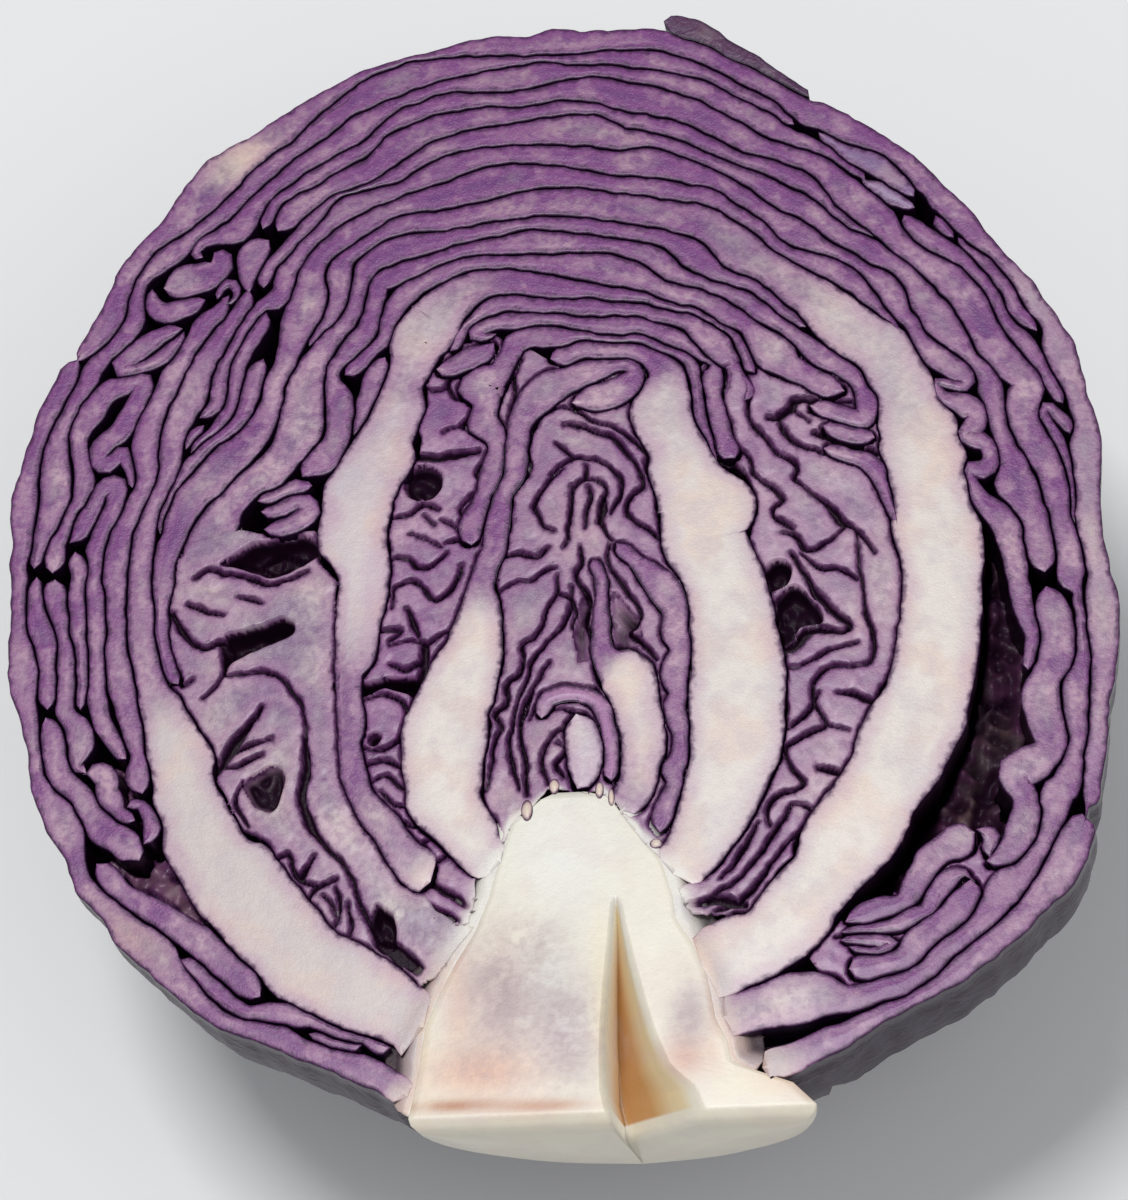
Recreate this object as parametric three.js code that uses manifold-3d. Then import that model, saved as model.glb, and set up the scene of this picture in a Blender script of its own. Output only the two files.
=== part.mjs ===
// Half of a red cabbage, cut through the stem from crown to base, lying on its round back.
// Millimetres. The cut face looks up (+Z), the crown points to +Y and the stem end to -Y.
//
// Every leaf is a bent sheet nested round the heart. Its line on the cut face is given by points
// [x, y, half thickness], from its left end over the crown to its right end. The sheet behind the
// cut is that line swung about the stem axis, from the right side (0 degrees) under the head to
// the left side (180 degrees), turning from the right line into the left one on the way.

import * as THREE from "three";
import Module from "manifold-3d";
import { mergeVertices } from "three/addons/utils/BufferGeometryUtils.js";

// Driving dimensions, on the cut face. HEART is where the leaves spring from the core's crown.
const HEART = new THREE.Vector3(0, -28, 0);
const REST_DEPTH = 73.5;
const CENTRE_X = -1.74;
const CENTRE_Y = 8.29;
const GAP = 0.5;
const FOOT_GAP = 0.4;
const THINNEST_HALF = 0.35;
const SPARE_HALF = 1;
const NEAREST_TO_HEART = 2;
const STEEPEST = 3;
const WELD = 1e-4;
const LEVEL = 1e-6;

// Directions from the heart: degrees from the crown, and degrees round the stem axis.
const FROM_CROWN = [0, 8, 16, 25, 35, 46, 58, 70, 82, 94, 106, 120, 135, 150];
const ROUND_STEM = [0, 18, 45, 75, 105, 135, 162, 180];
const LAST_ROW = FROM_CROWN.length - 1;
const LAST_COLUMN = ROUND_STEM.length - 1;
const REST_ROWS = [6, 7, 8];
const REST_COLUMNS = [3, 4];
const BESIDE_CUT = 18;
const ROUGHNESS = 0.5;

const PURPLE_SKIN = 0x5d4a63;
const PURPLE_LEAF = 0xa583a6;
const PALE_RIB = 0xe2d5dc;
const HEART_LEAF = 0xb79fba;
const CORE_FLESH = 0xece6d2;

// The leaves from the outside in. side says which half of the head a leaf keeps to ("over" is a
// leaf that crosses the crown), and reach how far it goes round the stem axis, in degrees.
// reachesBase marks a leaf whose foot is on the underside, away from the cut, and rests the one
// that the half lies on.
const LEAVES = [
  {
    name: "torn_leaf_scrap", side: "right", reach: 45, colour: PURPLE_SKIN,
    line: [[12.5, 89.4, 0.6], [21, 86, 0.6], [27, 82, 0.5], [35, 75.8, 0.4]],
  },
  {
    name: "top_wrapper_leaf", side: "over", reachesBase: true, rests: true, colour: PURPLE_SKIN,
    line: [[-68.5, 41, 1.2], [-60.5, 57, 1.4], [-50, 69.5, 1.5], [-36, 78.5, 1.5], [-20, 84.8, 1.2],
      [0, 86, 1.5], [14, 85.3, 1.5], [26, 79, 1.3], [38, 70, 1.3], [50, 61, 1.3], [60, 49, 1.3],
      [67.3, 37, 1.2], [70.8, 24, 1.1], [71.3, 10, 1.2], [72.3, -3, 1.6], [72, -14, 1.5],
      [70.5, -26, 1.3], [68.3, -37, 1.2]],
  },
  {
    name: "left_wrapper_leaf", side: "left", reach: 75, colour: PURPLE_SKIN,
    line: [[-24, -66.5, 1.5], [-34, -62, 1.4], [-44, -57, 1.5], [-54, -48.5, 1.6], [-62, -40, 1.4],
      [-68.3, -30, 1.7], [-72.3, -21, 1.3], [-75.4, -8, 1.5], [-76.3, 0, 1], [-76.3, 13, 1],
      [-75, 27, 1.2], [-71, 38, 1]],
  },
  {
    name: "right_wrapper_leaf", side: "right", reach: 75, colour: PURPLE_SKIN,
    line: [[66, -42, 1.6], [60, -48, 1.5], [52, -54.5, 1.5], [43, -60, 1.4], [34, -63.8, 1.5],
      [25, -66.8, 1.6]],
  },
  {
    name: "lower_left_leaf", side: "left", reach: 75, colour: PURPLE_LEAF,
    line: [[-23, -62.6, 1.2], [-28, -61, 1.2], [-35, -58.5, 1.4], [-43, -53.5, 2], [-50, -48, 1.8],
      [-58, -41, 1.6], [-63.5, -33, 1.4]],
  },
  {
    name: "head_leaf_01", side: "over", colour: PURPLE_LEAF,
    line: [[-58, -34.5, 1.4], [-64.5, -28.3, 1.9], [-69, -21.5, 1.6], [-71.3, -14, 1.2],
      [-72, -5, 1.3], [-74.3, 4, 1], [-73, 16, 1], [-72.3, 25, 1], [-67, 39.5, 1], [-61.5, 50, 1.3],
      [-52, 61, 1.3], [-40, 71.5, 1.3], [-30, 78.5, 1.2], [-16, 83.5, 0.9], [0, 83.6, 0.8],
      [14, 81.8, 0.9], [24, 77, 0.9], [33, 70.5, 0.8]],
  },
  {
    name: "head_leaf_02", side: "over", colour: PURPLE_LEAF,
    line: [[-60.5, -27.5, 1.2], [-64, -22, 1.2], [-67.5, -15, 1.8], [-69.3, -7, 1.2],
      [-70.2, 0, 0.9], [-71.3, 5, 1.6], [-69.5, 18, 1.3], [-67.5, 30, 1.5], [-62.5, 40, 1.5],
      [-56.5, 50, 1.8], [-48, 60.5, 2], [-40, 68, 1.9], [-28, 76, 1.2], [-14, 80.6, 1.4],
      [0, 81.5, 1.2], [14, 79, 1.2], [25, 73.5, 1.2], [36, 66.8, 1], [45, 60, 1.2], [53, 53, 1.2],
      [60, 44, 1], [65, 34.5, 1], [69.3, 22, 0.9], [69.3, 8, 0.7]],
  },
  {
    name: "head_leaf_03", side: "over", reachesBase: true, colour: PURPLE_LEAF,
    line: [[-67, -12, 0.7], [-67.4, -4, 0.9], [-68.3, 4, 1], [-66.6, 18, 1.2], [-64, 30, 1.5],
      [-59.5, 40, 1.5], [-53.3, 50, 1.6], [-46, 58.5, 1.6], [-38, 66, 1.2], [-28, 73, 1.4],
      [-14, 78, 1.2], [0, 78.6, 1.7], [14, 75.8, 1.7], [26, 69, 2], [36, 63.5, 1.5], [45, 54, 1.6],
      [53, 46, 1.7], [59, 37, 1.5], [63.8, 26, 1.7], [67, 14, 1.5], [69.3, 1, 0.9],
      [69.6, -10, 0.9], [68.7, -20, 1.4], [67.6, -28, 1.5], [64.5, -36, 1.8], [59.5, -43.5, 2],
      [50, -51.5, 2.3], [40, -57.5, 1.7], [30, -58.3, 2.8], [24, -60.3, 3]],
  },
  {
    name: "head_leaf_04", side: "over", reachesBase: true, colour: PURPLE_LEAF,
    line: [[-60.4, -20, 0.8], [-63.5, -15, 1], [-65, -8, 1.2], [-65.6, 2, 1.2], [-64.2, 18, 1.2],
      [-61, 30, 1.3], [-57, 40, 1.5], [-50.8, 50, 1.5], [-43.5, 57.5, 1.8], [-36, 64, 2.2],
      [-26, 69.5, 1.8], [-14, 74.7, 1.3], [0, 75.8, 1.2], [12, 72.7, 1], [24, 67, 1], [34, 60, 1.2],
      [39, 54, 1.8], [46, 47.5, 1.5], [52, 40, 1.6], [57.5, 29, 1.7], [60.5, 20, 1.5],
      [63.5, 11, 1.5], [65.9, -3, 1.8], [66.3, -10, 2], [64.3, -16, 1.9], [65.3, -24, 2.2],
      [61, -30, 3], [60.5, -37, 2], [53, -42.5, 3.5], [44, -49.5, 3.5], [36.5, -52.5, 1.8]],
  },
  {
    name: "head_leaf_05", side: "over", colour: PURPLE_LEAF,
    line: [[-58, -24.5, 1.6], [-59, -18, 1.4], [-61.3, -10, 1.2], [-62.5, 0, 1.4], [-62, 8, 1.4],
      [-60.2, 18, 1.3], [-58.3, 30, 1.2], [-54.3, 40, 1.3], [-47.7, 49.3, 1.3], [-41, 55.8, 1.4],
      [-33, 62.5, 1.2], [-22, 68.5, 1.4], [-10, 72, 1.8], [0, 72.2, 2.2], [10, 70.3, 1.8],
      [22, 65.5, 1.5], [31, 59.7, 1.2], [38, 53.5, 1.4], [44, 47, 1.3], [48.5, 40, 1.3],
      [53, 31, 1.4], [55.3, 22, 1.3], [57, 14, 1.3], [60.5, 6, 1], [62.8, -3, 0.9],
      [63.2, -9, 0.8], [62.4, -13.5, 0.7]],
  },
  {
    name: "head_leaf_06", side: "over", reachesBase: true, colour: PALE_RIB,
    line: [[-22, -58, 4], [-31, -52.5, 4.2], [-41, -43.5, 4.3], [-49.5, -31.5, 4.2],
      [-54.5, -19, 3.6], [-57.3, -8, 2.6], [-59, 5, 1.7], [-57, 18, 1.5], [-54.5, 30, 1.5],
      [-50, 40, 1.5], [-44.5, 48.5, 1.5], [-38, 54, 1.6], [-31, 60, 1.5], [-20, 65.7, 1.6],
      [-8, 68.2, 1.6], [0, 68, 1.6], [12, 65.5, 1.7], [22, 61.8, 1.5], [30, 56, 1.5],
      [37, 50.3, 1.3], [43, 44, 1.4], [48, 36.5, 1.1]],
  },
  {
    name: "head_leaf_07", side: "over", colour: PURPLE_LEAF,
    line: [[-53.5, -9, 1.2], [-56.3, -2, 1.1], [-56, 8, 1.1], [-54, 18, 1], [-51, 30, 1.2],
      [-46, 40, 1.2], [-40, 49, 1.3], [-35, 54.5, 1.3], [-29, 59, 1.3], [-20, 62.6, 1.6],
      [-10, 64.7, 1.7], [0, 64.6, 1.7], [12, 62.5, 1.5], [22, 59, 1.2], [30, 52.8, 1.3],
      [36.5, 47.6, 1.1], [41.5, 43, 1], [45.5, 38.3, 0.8]],
  },
  {
    name: "left_fold_leaf", side: "left", reach: 60, colour: PURPLE_LEAF,
    line: [[-29.5, -45, 2.2], [-35, -38.5, 2.3], [-41, -31, 2.4], [-46, -23, 2.4], [-49.5, -13, 3],
      [-51.3, -5, 2.8], [-51.5, 4, 2.2]],
  },
  {
    name: "head_leaf_08", side: "over", reachesBase: true, colour: PALE_RIB,
    line: [[-47.5, 8, 2], [-47.5, 20, 1.5], [-43, 32, 1.5], [-37.5, 43, 1.5], [-32, 50, 1.5],
      [-26, 56, 1.5], [-17, 59, 1.6], [-6, 60.5, 1.8], [0, 60.6, 2.1], [10, 59, 2.1], [19, 56, 2],
      [25, 51, 2.3], [33, 45, 2.6], [40, 39, 3], [45, 33, 3.8], [47.5, 25, 4], [49.5, 15, 4.2],
      [50.8, 0, 4.4], [49.8, -12, 4.6], [46.5, -23, 4.6], [40, -34.5, 4.6], [32, -44, 4.3],
      [21.5, -52.5, 3.9]],
  },
  {
    name: "head_leaf_09", side: "over", colour: PURPLE_LEAF,
    line: [[-43.5, 6, 1.6], [-43, 20, 1.3], [-38, 33, 1.3], [-32.5, 43.5, 1.2], [-28, 51, 1.2],
      [-22, 55, 1.2], [-10, 57.2, 1.2], [0, 57.2, 1.2], [9, 55, 1.2], [17, 51.8, 1.3],
      [25, 46.4, 1.3], [32.5, 40.8, 1.5], [37.5, 36.5, 1.2], [41, 30, 1.7], [43.5, 20, 1.8],
      [44.5, 8, 1.6], [44.3, -3, 1.7], [43, -12, 1.7], [40, -21, 2], [34.5, -31, 2.4],
      [28, -39, 2.6], [21.5, -45.5, 2.2]],
  },
  {
    name: "head_leaf_10", side: "over", colour: PURPLE_LEAF,
    line: [[-33.5, -32, 2], [-40, -24, 2.2], [-42, -14, 3], [-41.5, -3, 2.4], [-40, 8, 2],
      [-38.5, 20, 1.2], [-34.5, 32, 1.2], [-29, 44, 1.2], [-24, 51.5, 1.2], [-15, 54.3, 1.2],
      [0, 54.4, 1.4], [10, 52.8, 1.2], [19, 47.2, 1.3], [24.5, 43.6, 1.2], [30, 39.7, 1.2],
      [34.5, 35.5, 1.2], [38, 28, 1.5], [39.5, 20, 1.6], [39.5, 8, 2.4], [38, -3, 2.6],
      [37, -14, 2.5], [34, -24, 2.4], [28, -33, 2], [22, -40, 1.6], [17.5, -43.3, 1.3]],
  },
  {
    name: "head_leaf_11", side: "over", colour: PALE_RIB,
    line: [[-16.8, -50, 3.6], [-21.5, -45, 4], [-27, -37, 3.3], [-31.7, -28, 2.7],
      [-33.8, -19, 1.6], [-34.7, -8, 1.6], [-35.3, 4, 1.6], [-34.5, 14, 1.3], [-31.5, 25, 1.2],
      [-28, 35, 1.1], [-25.5, 43, 1.1], [-20.5, 50, 1.1], [-12, 52, 1.1], [0, 50.8, 1.5],
      [8, 49.3, 1.4], [14, 46.5, 1.2], [20.5, 43, 1.1], [26, 39, 1.1], [30, 34.5, 1.2],
      [33, 26, 1.5], [34.5, 16, 1.8], [34, 5, 2.2], [32.5, -6, 2], [31.5, -16, 1.8],
      [29, -25, 1.6]],
  },
  {
    name: "head_leaf_12", side: "over", colour: PALE_RIB,
    line: [[-14, -43.5, 1.8], [-18.5, -38.5, 2.3], [-23.5, -33, 1.8], [-28, -25, 1.8],
      [-30.7, -15, 1.7], [-30.3, -8, 2.5], [-29.2, 0, 3.3], [-29, 10, 4.2], [-26.5, 20, 4.3],
      [-23.2, 30, 3.6], [-20.3, 39, 3.4], [-15.5, 46.8, 3], [-8, 48.6, 2], [0, 47.3, 1.6],
      [8, 45.6, 1.2], [15, 43.2, 0.9], [20.3, 40.8, 0.7], [24.5, 37, 0.7], [27, 31, 0.8]],
  },
  {
    name: "head_leaf_13", side: "over", colour: HEART_LEAF,
    line: [[-23, -25, 2], [-24.5, -12, 1.8], [-23.5, 2, 1.5], [-22, 14, 1.3], [-19, 26, 1.3],
      [-16, 36, 1.2], [-11.5, 43.5, 1.1], [0, 44.5, 0.9], [9, 43.2, 0.8], [16, 40.1, 0.9],
      [21.2, 35.5, 1], [23.8, 30.5, 1.1], [25.5, 23, 1.2], [27.5, 16, 1.3], [28.8, 8, 1.2],
      [29.5, -2, 1.2]],
  },
  {
    name: "head_leaf_14", side: "over", colour: HEART_LEAF,
    line: [[-19.5, -14, 2], [-19.8, 0, 1.6], [-18.5, 14, 1.4], [-15.5, 26, 1.3], [-12, 36, 1.2],
      [-7, 41.5, 1.1], [0, 42, 1.1], [8, 41, 1.1], [14, 38.2, 1.1], [19, 33.5, 1],
      [21, 28.5, 1], [22.2, 22, 1.1], [24.3, 16.5, 1.1]],
  },
  {
    name: "head_leaf_15", side: "over", colour: HEART_LEAF,
    line: [[-15.5, 2, 1.5], [-15.2, 14, 1.3], [-12.5, 26, 1.2], [-8, 35.5, 1.2], [0, 39.6, 1],
      [8, 38.9, 0.8], [14, 36.5, 0.7], [17.3, 32.5, 0.8], [18.6, 28, 0.8], [20, 21.5, 0.9]],
  },
  {
    name: "head_leaf_16", side: "over", colour: PALE_RIB,
    line: [[-12.6, 12, 1], [-9.5, 24, 1.1], [-5, 33, 1.1], [0, 37, 1], [6, 36.8, 1],
      [11, 34.6, 1.5], [13.6, 30, 2.6], [15.8, 22, 3.3], [19, 14, 4], [20.5, 6, 4.2],
      [21.6, -4, 4.9], [22.5, -14, 5.2], [21.8, -23, 5.1], [19.8, -31, 4.7], [15.8, -38.5, 2.8]],
  },
  {
    name: "heart_leaf_1", side: "over", colour: PALE_RIB,
    line: [[-11, -37.5, 2.3], [-14.8, -31, 4], [-16.2, -22, 4.2], [-15.3, -13, 3.7],
      [-13.2, -4, 2.5], [-11.4, 5, 1.2], [-9.8, 14, 0.9], [-7, 24, 0.9], [-2.5, 31.5, 0.9],
      [4, 32, 0.9], [9, 27, 0.9], [11.5, 20, 0.8]],
  },
  {
    name: "heart_leaf_2", side: "over", colour: HEART_LEAF,
    line: [[-10.9, -28, 0.6], [-10, -18, 0.9], [-8.8, -8, 0.9], [-8.3, 2, 1], [-7.2, 12, 1.1],
      [-4, 22, 1.1], [1, 27, 1.1], [6, 24, 1.1], [9.5, 16, 1.1], [12, 6, 1.2], [15, -2, 1.3],
      [15.9, -14, 1.3], [15.5, -24, 1.2], [13.5, -31.5, 1]],
  },
  {
    name: "heart_leaf_3", side: "over", colour: HEART_LEAF,
    line: [[-7.8, -28.5, 1.8], [-8, -20, 0.9], [-6.6, -11, 0.9], [-4.6, -3, 0.9], [-3.4, 6, 1],
      [-0.5, 14, 1], [3, 16, 1], [6.2, 9, 1], [9.5, 1, 1], [12.2, -7, 1], [13.4, -16, 0.9],
      [13.5, -24, 0.9], [11.5, -30.5, 0.9]],
  },
  {
    name: "heart_leaf_4", side: "right", reach: 75, colour: PALE_RIB,
    line: [[4.8, 4, 0.8], [6, -3, 0.9], [8, -9, 1.6], [9.8, -14, 2], [10.4, -20, 2.2],
      [10, -26, 2], [8.2, -31, 1.2]],
  },
  {
    name: "heart_leaf_5", side: "over", colour: HEART_LEAF,
    line: [[-5.4, -26, 0.6], [-6.2, -20, 0.6], [-5, -13, 0.6], [-1.5, -7.5, 0.7], [1.5, -6.5, 0.7],
      [4, -9.5, 0.6], [6, -14, 0.6]],
  },
];

// The bud is a small egg, and the core and stem are half-round sections down the stem axis:
// height, reach to the left, reach to the right, depth.
const BUD = { name: "heart_bud", x: 0.6, y: -19.6, across: 4, along: 8.2, deep: 5.5 };
const CORE_SECTIONS = [[-29.6, 3, 5, 3], [-31.5, 6.3, 8, 6.5], [-37, 9, 12, 10],
  [-46, 12.4, 16, 14], [-55, 16, 19.6, 18], [-63, 18.8, 22, 21], [-67, 20.6, 25.5, 24],
  [-70, 21.6, 32, 25.5], [-72, 21.6, 32.5, 25]];
const CORE_SIDES = 14;
const STEM_SLANT = 0.16;
const SLANT_FROM = 50;
const SLANT_TO = 72;
const CRACK = { topY: -42.5, topX: 6.8, bottomY: -80, leftX: 5.2, rightX: 16.5, deep: 13 };
const CRACK_LEAN = 1;
const CLEAR_OF_CUT = 1;
const EGG_SIDES = 14;
const EGG_RINGS = 8;

const wasm = await Module();
wasm.setup();

function degreesFromCrown(x, y) {
  return THREE.MathUtils.radToDeg(Math.atan2(x - HEART.x, y - HEART.y));
}

function nearestRow(degrees) {
  const distances = FROM_CROWN.map((row) => Math.abs(row - degrees));
  return distances.indexOf(Math.min(...distances));
}

// A leaf's line read in polar form about the heart: for each row, distance and half thickness.
function lineByRow(leaf, sign) {
  const knots = leaf.line.map(([x, y, half]) => ({
    angle: sign * degreesFromCrown(x, y),
    distance: Math.hypot(x - HEART.x, y - HEART.y),
    half,
  }));
  knots.sort((a, b) => a.angle - b.angle);
  const firstRow = nearestRow(Math.max(knots[0].angle, 0));
  const lastRow = nearestRow(Math.max(knots.at(-1).angle, 0));
  return FROM_CROWN.map((angle, row) => {
    if (row < firstRow || row > lastRow || knots.at(-1).angle < 0) {
      return null;
    }
    const beyond = knots.findIndex((knot) => knot.angle > angle);
    const next = beyond < 0 ? knots.length - 1 : Math.max(beyond, 1);
    const from = knots[next - 1];
    const to = knots[next];
    const t = THREE.MathUtils.clamp((angle - from.angle) / (to.angle - from.angle), 0, 1);
    return {
      distance: THREE.MathUtils.lerp(from.distance, to.distance, t),
      half: THREE.MathUtils.lerp(from.half, to.half, t),
    };
  });
}

// Where a leaf has no line of its own, it would lie evenly spaced between its neighbours.
function fillBetweenNeighbours(lines) {
  return lines.map((line, k) => line.map((here, row) => {
    if (here) {
      return here;
    }
    const outer = lines.findLastIndex((other, i) => i < k && other[row]);
    const inner = lines.findIndex((other, i) => i > k && other[row]);
    if (outer < 0 || inner < 0) {
      const only = lines[outer < 0 ? inner : outer][row];
      const beside = only.distance + (outer < 0 ? SPARE_HALF : -SPARE_HALF);
      return { distance: Math.max(beside, NEAREST_TO_HEART), half: SPARE_HALF };
    }
    const t = (k - outer) / (inner - outer);
    return {
      distance: THREE.MathUtils.lerp(lines[outer][row].distance, lines[inner][row].distance, t),
      half: SPARE_HALF,
    };
  }));
}

// Cells of the grid that a leaf covers, as the rows between first and last in each column.
function coveredRows(leaf, rightLine, leftLine) {
  const side = leaf.side === "left" ? leftLine : rightLine;
  const ends = [rightLine, leftLine].map((line) => line.findLastIndex((here) => here));
  const columns = [];
  for (let column = 0; column < LAST_COLUMN; column += 1) {
    const middle = (ROUND_STEM[column] + ROUND_STEM[column + 1]) / 2;
    if (leaf.side === "over") {
      const turned = THREE.MathUtils.smoothstep(middle, 0, 180);
      const between = Math.round(THREE.MathUtils.lerp(ends[0], ends[1], turned));
      const underside = middle > BESIDE_CUT && middle < 180 - BESIDE_CUT;
      columns.push([0, leaf.reachesBase && underside ? LAST_ROW : between]);
    } else {
      const fromSide = leaf.side === "left" ? 180 - middle : middle;
      const first = side.findIndex((here) => here);
      const last = side.findLastIndex((here) => here);
      columns.push(fromSide < leaf.reach ? [first, last] : null);
    }
  }
  return columns;
}

const rightLines = LEAVES.map((leaf) => lineByRow(leaf, 1));
const leftLines = LEAVES.map((leaf) => lineByRow(leaf, -1));
const cover = LEAVES.map((leaf, k) => coveredRows(leaf, rightLines[k], leftLines[k]));
const rightFull = fillBetweenNeighbours(rightLines);
const leftFull = fillBetweenNeighbours(leftLines);

function isPresent(k, row, column) {
  return [column - 1, column].some((c) => {
    const rows = cover[k][c];
    return rows && rows[0] < rows[1] && row >= rows[0] && row <= rows[1];
  });
}

function blended(k, row, column) {
  const toRight = (1 + Math.cos(THREE.MathUtils.degToRad(ROUND_STEM[column]))) / 2;
  const right = rightFull[k][row];
  const left = leftFull[k][row];
  return {
    distance: THREE.MathUtils.lerp(left.distance, right.distance, toRight),
    half: THREE.MathUtils.lerp(left.half, right.half, toRight),
  };
}

// How much longer a step across the sheet is along the ray than square to the sheet.
function slant(k, row, column) {
  const above = Math.max(row - 1, 0);
  const below = Math.min(row + 1, LAST_ROW);
  const rise = blended(k, below, column).distance - blended(k, above, column).distance;
  const turn = THREE.MathUtils.degToRad(FROM_CROWN[below] - FROM_CROWN[above]);
  const run = turn * blended(k, row, column).distance;
  return Math.min(Math.hypot(1, rise / run), STEEPEST);
}

// Outer and inner distance of every leaf along one ray, kept in order with a gap between leaves.
function facesAlong(row, column) {
  const present = LEAVES.map((leaf, k) => k).filter((k) => isPresent(k, row, column));
  const faces = present.map((k) => {
    const factor = slant(k, row, column);
    const { distance, half } = blended(k, row, column);
    return { k, middle: distance, half: half * factor, gap: GAP * factor };
  });
  faces.forEach((face, i) => {
    if (i > 0) {
      const above = faces[i - 1];
      const step = 2 * THINNEST_HALF + Math.max(face.gap, above.gap);
      face.middle = Math.min(face.middle, above.middle - step);
    }
    face.outer = face.middle + face.half;
    face.inner = face.middle - face.half;
  });
  for (let i = 1; i < faces.length; i += 1) {
    const above = faces[i - 1];
    const below = faces[i];
    const gap = Math.max(above.gap, below.gap);
    if (above.inner - below.outer < gap) {
      const wanted = (above.inner + below.outer) / 2;
      const low = below.middle + THINNEST_HALF + gap / 2;
      const high = above.middle - THINNEST_HALF - gap / 2;
      const boundary = low < high ? THREE.MathUtils.clamp(wanted, low, high) : (low + high) / 2;
      above.inner = boundary + gap / 2;
      below.outer = boundary - gap / 2;
    }
  }
  return new Map(faces.map((face) => [face.k, face]));
}

const rays = FROM_CROWN.map((angle, row) => (
  ROUND_STEM.map((turn, column) => facesAlong(row, row ? column : 0))
));

function pointAt(row, column, distance) {
  const fromCrown = THREE.MathUtils.degToRad(FROM_CROWN[row]);
  const turn = THREE.MathUtils.degToRad(ROUND_STEM[column]);
  const ring = distance * Math.sin(fromCrown);
  const flat = column === 0 || column === LAST_COLUMN;
  return new THREE.Vector3(
    HEART.x + ring * Math.cos(turn),
    HEART.y + distance * Math.cos(fromCrown),
    flat ? 0 : -ring * Math.sin(turn),
  );
}

function solidOf(positions, triangles) {
  const geometry = new THREE.BufferGeometry();
  const numbers = positions.flatMap((point) => point.toArray());
  geometry.setAttribute("position", new THREE.Float32BufferAttribute(numbers, 3));
  geometry.setIndex(triangles.flat());
  const merged = mergeVertices(geometry, WELD);
  const index = Array.from(merged.index.array);
  const at = (i) => new THREE.Vector3().fromBufferAttribute(merged.attributes.position, i);
  let volume = 0;
  for (let i = 0; i < index.length; i += 3) {
    volume += at(index[i]).dot(at(index[i + 1]).cross(at(index[i + 2])));
  }
  const outward = [];
  for (let i = 0; i < index.length; i += 3) {
    const [a, b, c] = [index[i], index[i + 1], index[i + 2]];
    if (a !== b && b !== c && c !== a) {
      outward.push(...(volume > 0 ? [a, b, c] : [a, c, b]));
    }
  }
  return new wasm.Manifold(new wasm.Mesh({
    numProp: 3,
    vertProperties: Float32Array.from(merged.attributes.position.array),
    triVerts: Uint32Array.from(outward),
  }));
}

function geometryOf(solid) {
  const mesh = solid.getMesh();
  const geometry = new THREE.BufferGeometry();
  const numbers = Float32Array.from(mesh.vertProperties);
  geometry.setAttribute("position", new THREE.BufferAttribute(numbers, 3));
  geometry.setIndex(new THREE.BufferAttribute(Uint32Array.from(mesh.triVerts), 1));
  geometry.computeVertexNormals();
  return geometry;
}

// A leaf: its outer and inner faces over the covered cells, joined by walls round the margin.
function leafSolid(k) {
  const positions = [];
  const places = new Map();
  const place = (row, column) => {
    const key = row === 0 ? "pole" : `${row},${column}`;
    if (!places.has(key)) {
      const { outer, inner } = rays[row][column].get(k);
      const outside = pointAt(row, column, outer);
      if (LEAVES[k].rests && REST_ROWS.includes(row) && REST_COLUMNS.includes(column)) {
        outside.z = -REST_DEPTH;
      }
      places.set(key, positions.length);
      positions.push(outside, pointAt(row, column, inner));
    }
    return places.get(key);
  };
  const outerFaces = [];
  cover[k].forEach((rows, column) => {
    for (let row = rows ? rows[0] : 0; rows && row < rows[1]; row += 1) {
      const corners = [place(row, column), place(row + 1, column)];
      corners.push(place(row + 1, column + 1), place(row, column + 1));
      outerFaces.push([corners[0], corners[1], corners[2]]);
      if (row > 0) {
        outerFaces.push([corners[0], corners[2], corners[3]]);
      }
    }
  });
  const edges = new Map();
  for (const [a, b, c] of outerFaces) {
    for (const [from, to] of [[a, b], [b, c], [c, a]]) {
      if (edges.has(`${to},${from}`)) {
        edges.delete(`${to},${from}`);
      } else {
        edges.set(`${from},${to}`, [from, to]);
      }
    }
  }
  const walls = [...edges.values()].flatMap(([from, to]) => (
    [[to, from, from + 1], [to, from + 1, to + 1]]
  ));
  const innerFaces = outerFaces.map(([a, b, c]) => [a + 1, c + 1, b + 1]);
  return solidOf(positions, [...outerFaces, ...innerFaces, ...walls]);
}

// The core and stem: half-round sections joined down the axis, each grown by a margin.
function coreSolid(margin) {
  const positions = [];
  const triangles = [];
  const sections = CORE_SECTIONS.map((section, s) => {
    const end = s === 0 ? margin : s === CORE_SECTIONS.length - 1 ? -margin : 0;
    return [section[0] + end, section[1] + margin, section[2] + margin, section[3] + margin];
  });
  for (const [y, left, right, deep] of sections) {
    for (let side = 0; side <= CORE_SIDES; side += 1) {
      const turn = (Math.PI * side) / CORE_SIDES;
      const x = (Math.cos(turn) > 0 ? right : left) * Math.cos(turn);
      const z = side % CORE_SIDES ? -deep * Math.sin(turn) : 0;
      const slanted = y - z * STEM_SLANT * THREE.MathUtils.smoothstep(-y, SLANT_FROM, SLANT_TO);
      positions.push(new THREE.Vector3(x, slanted, margin ? z || margin : z));
    }
  }
  const ring = CORE_SIDES + 1;
  for (let s = 0; s < sections.length - 1; s += 1) {
    for (let side = 0; side < ring; side += 1) {
      const next = (side + 1) % ring;
      const a = s * ring + side;
      const b = s * ring + next;
      triangles.push([a, b, b + ring], [a, b + ring, a + ring]);
    }
  }
  const last = (sections.length - 1) * ring;
  for (let side = 1; side < CORE_SIDES; side += 1) {
    triangles.push([0, side + 1, side], [last, last + side, last + side + 1]);
  }
  return solidOf(positions, triangles);
}

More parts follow.
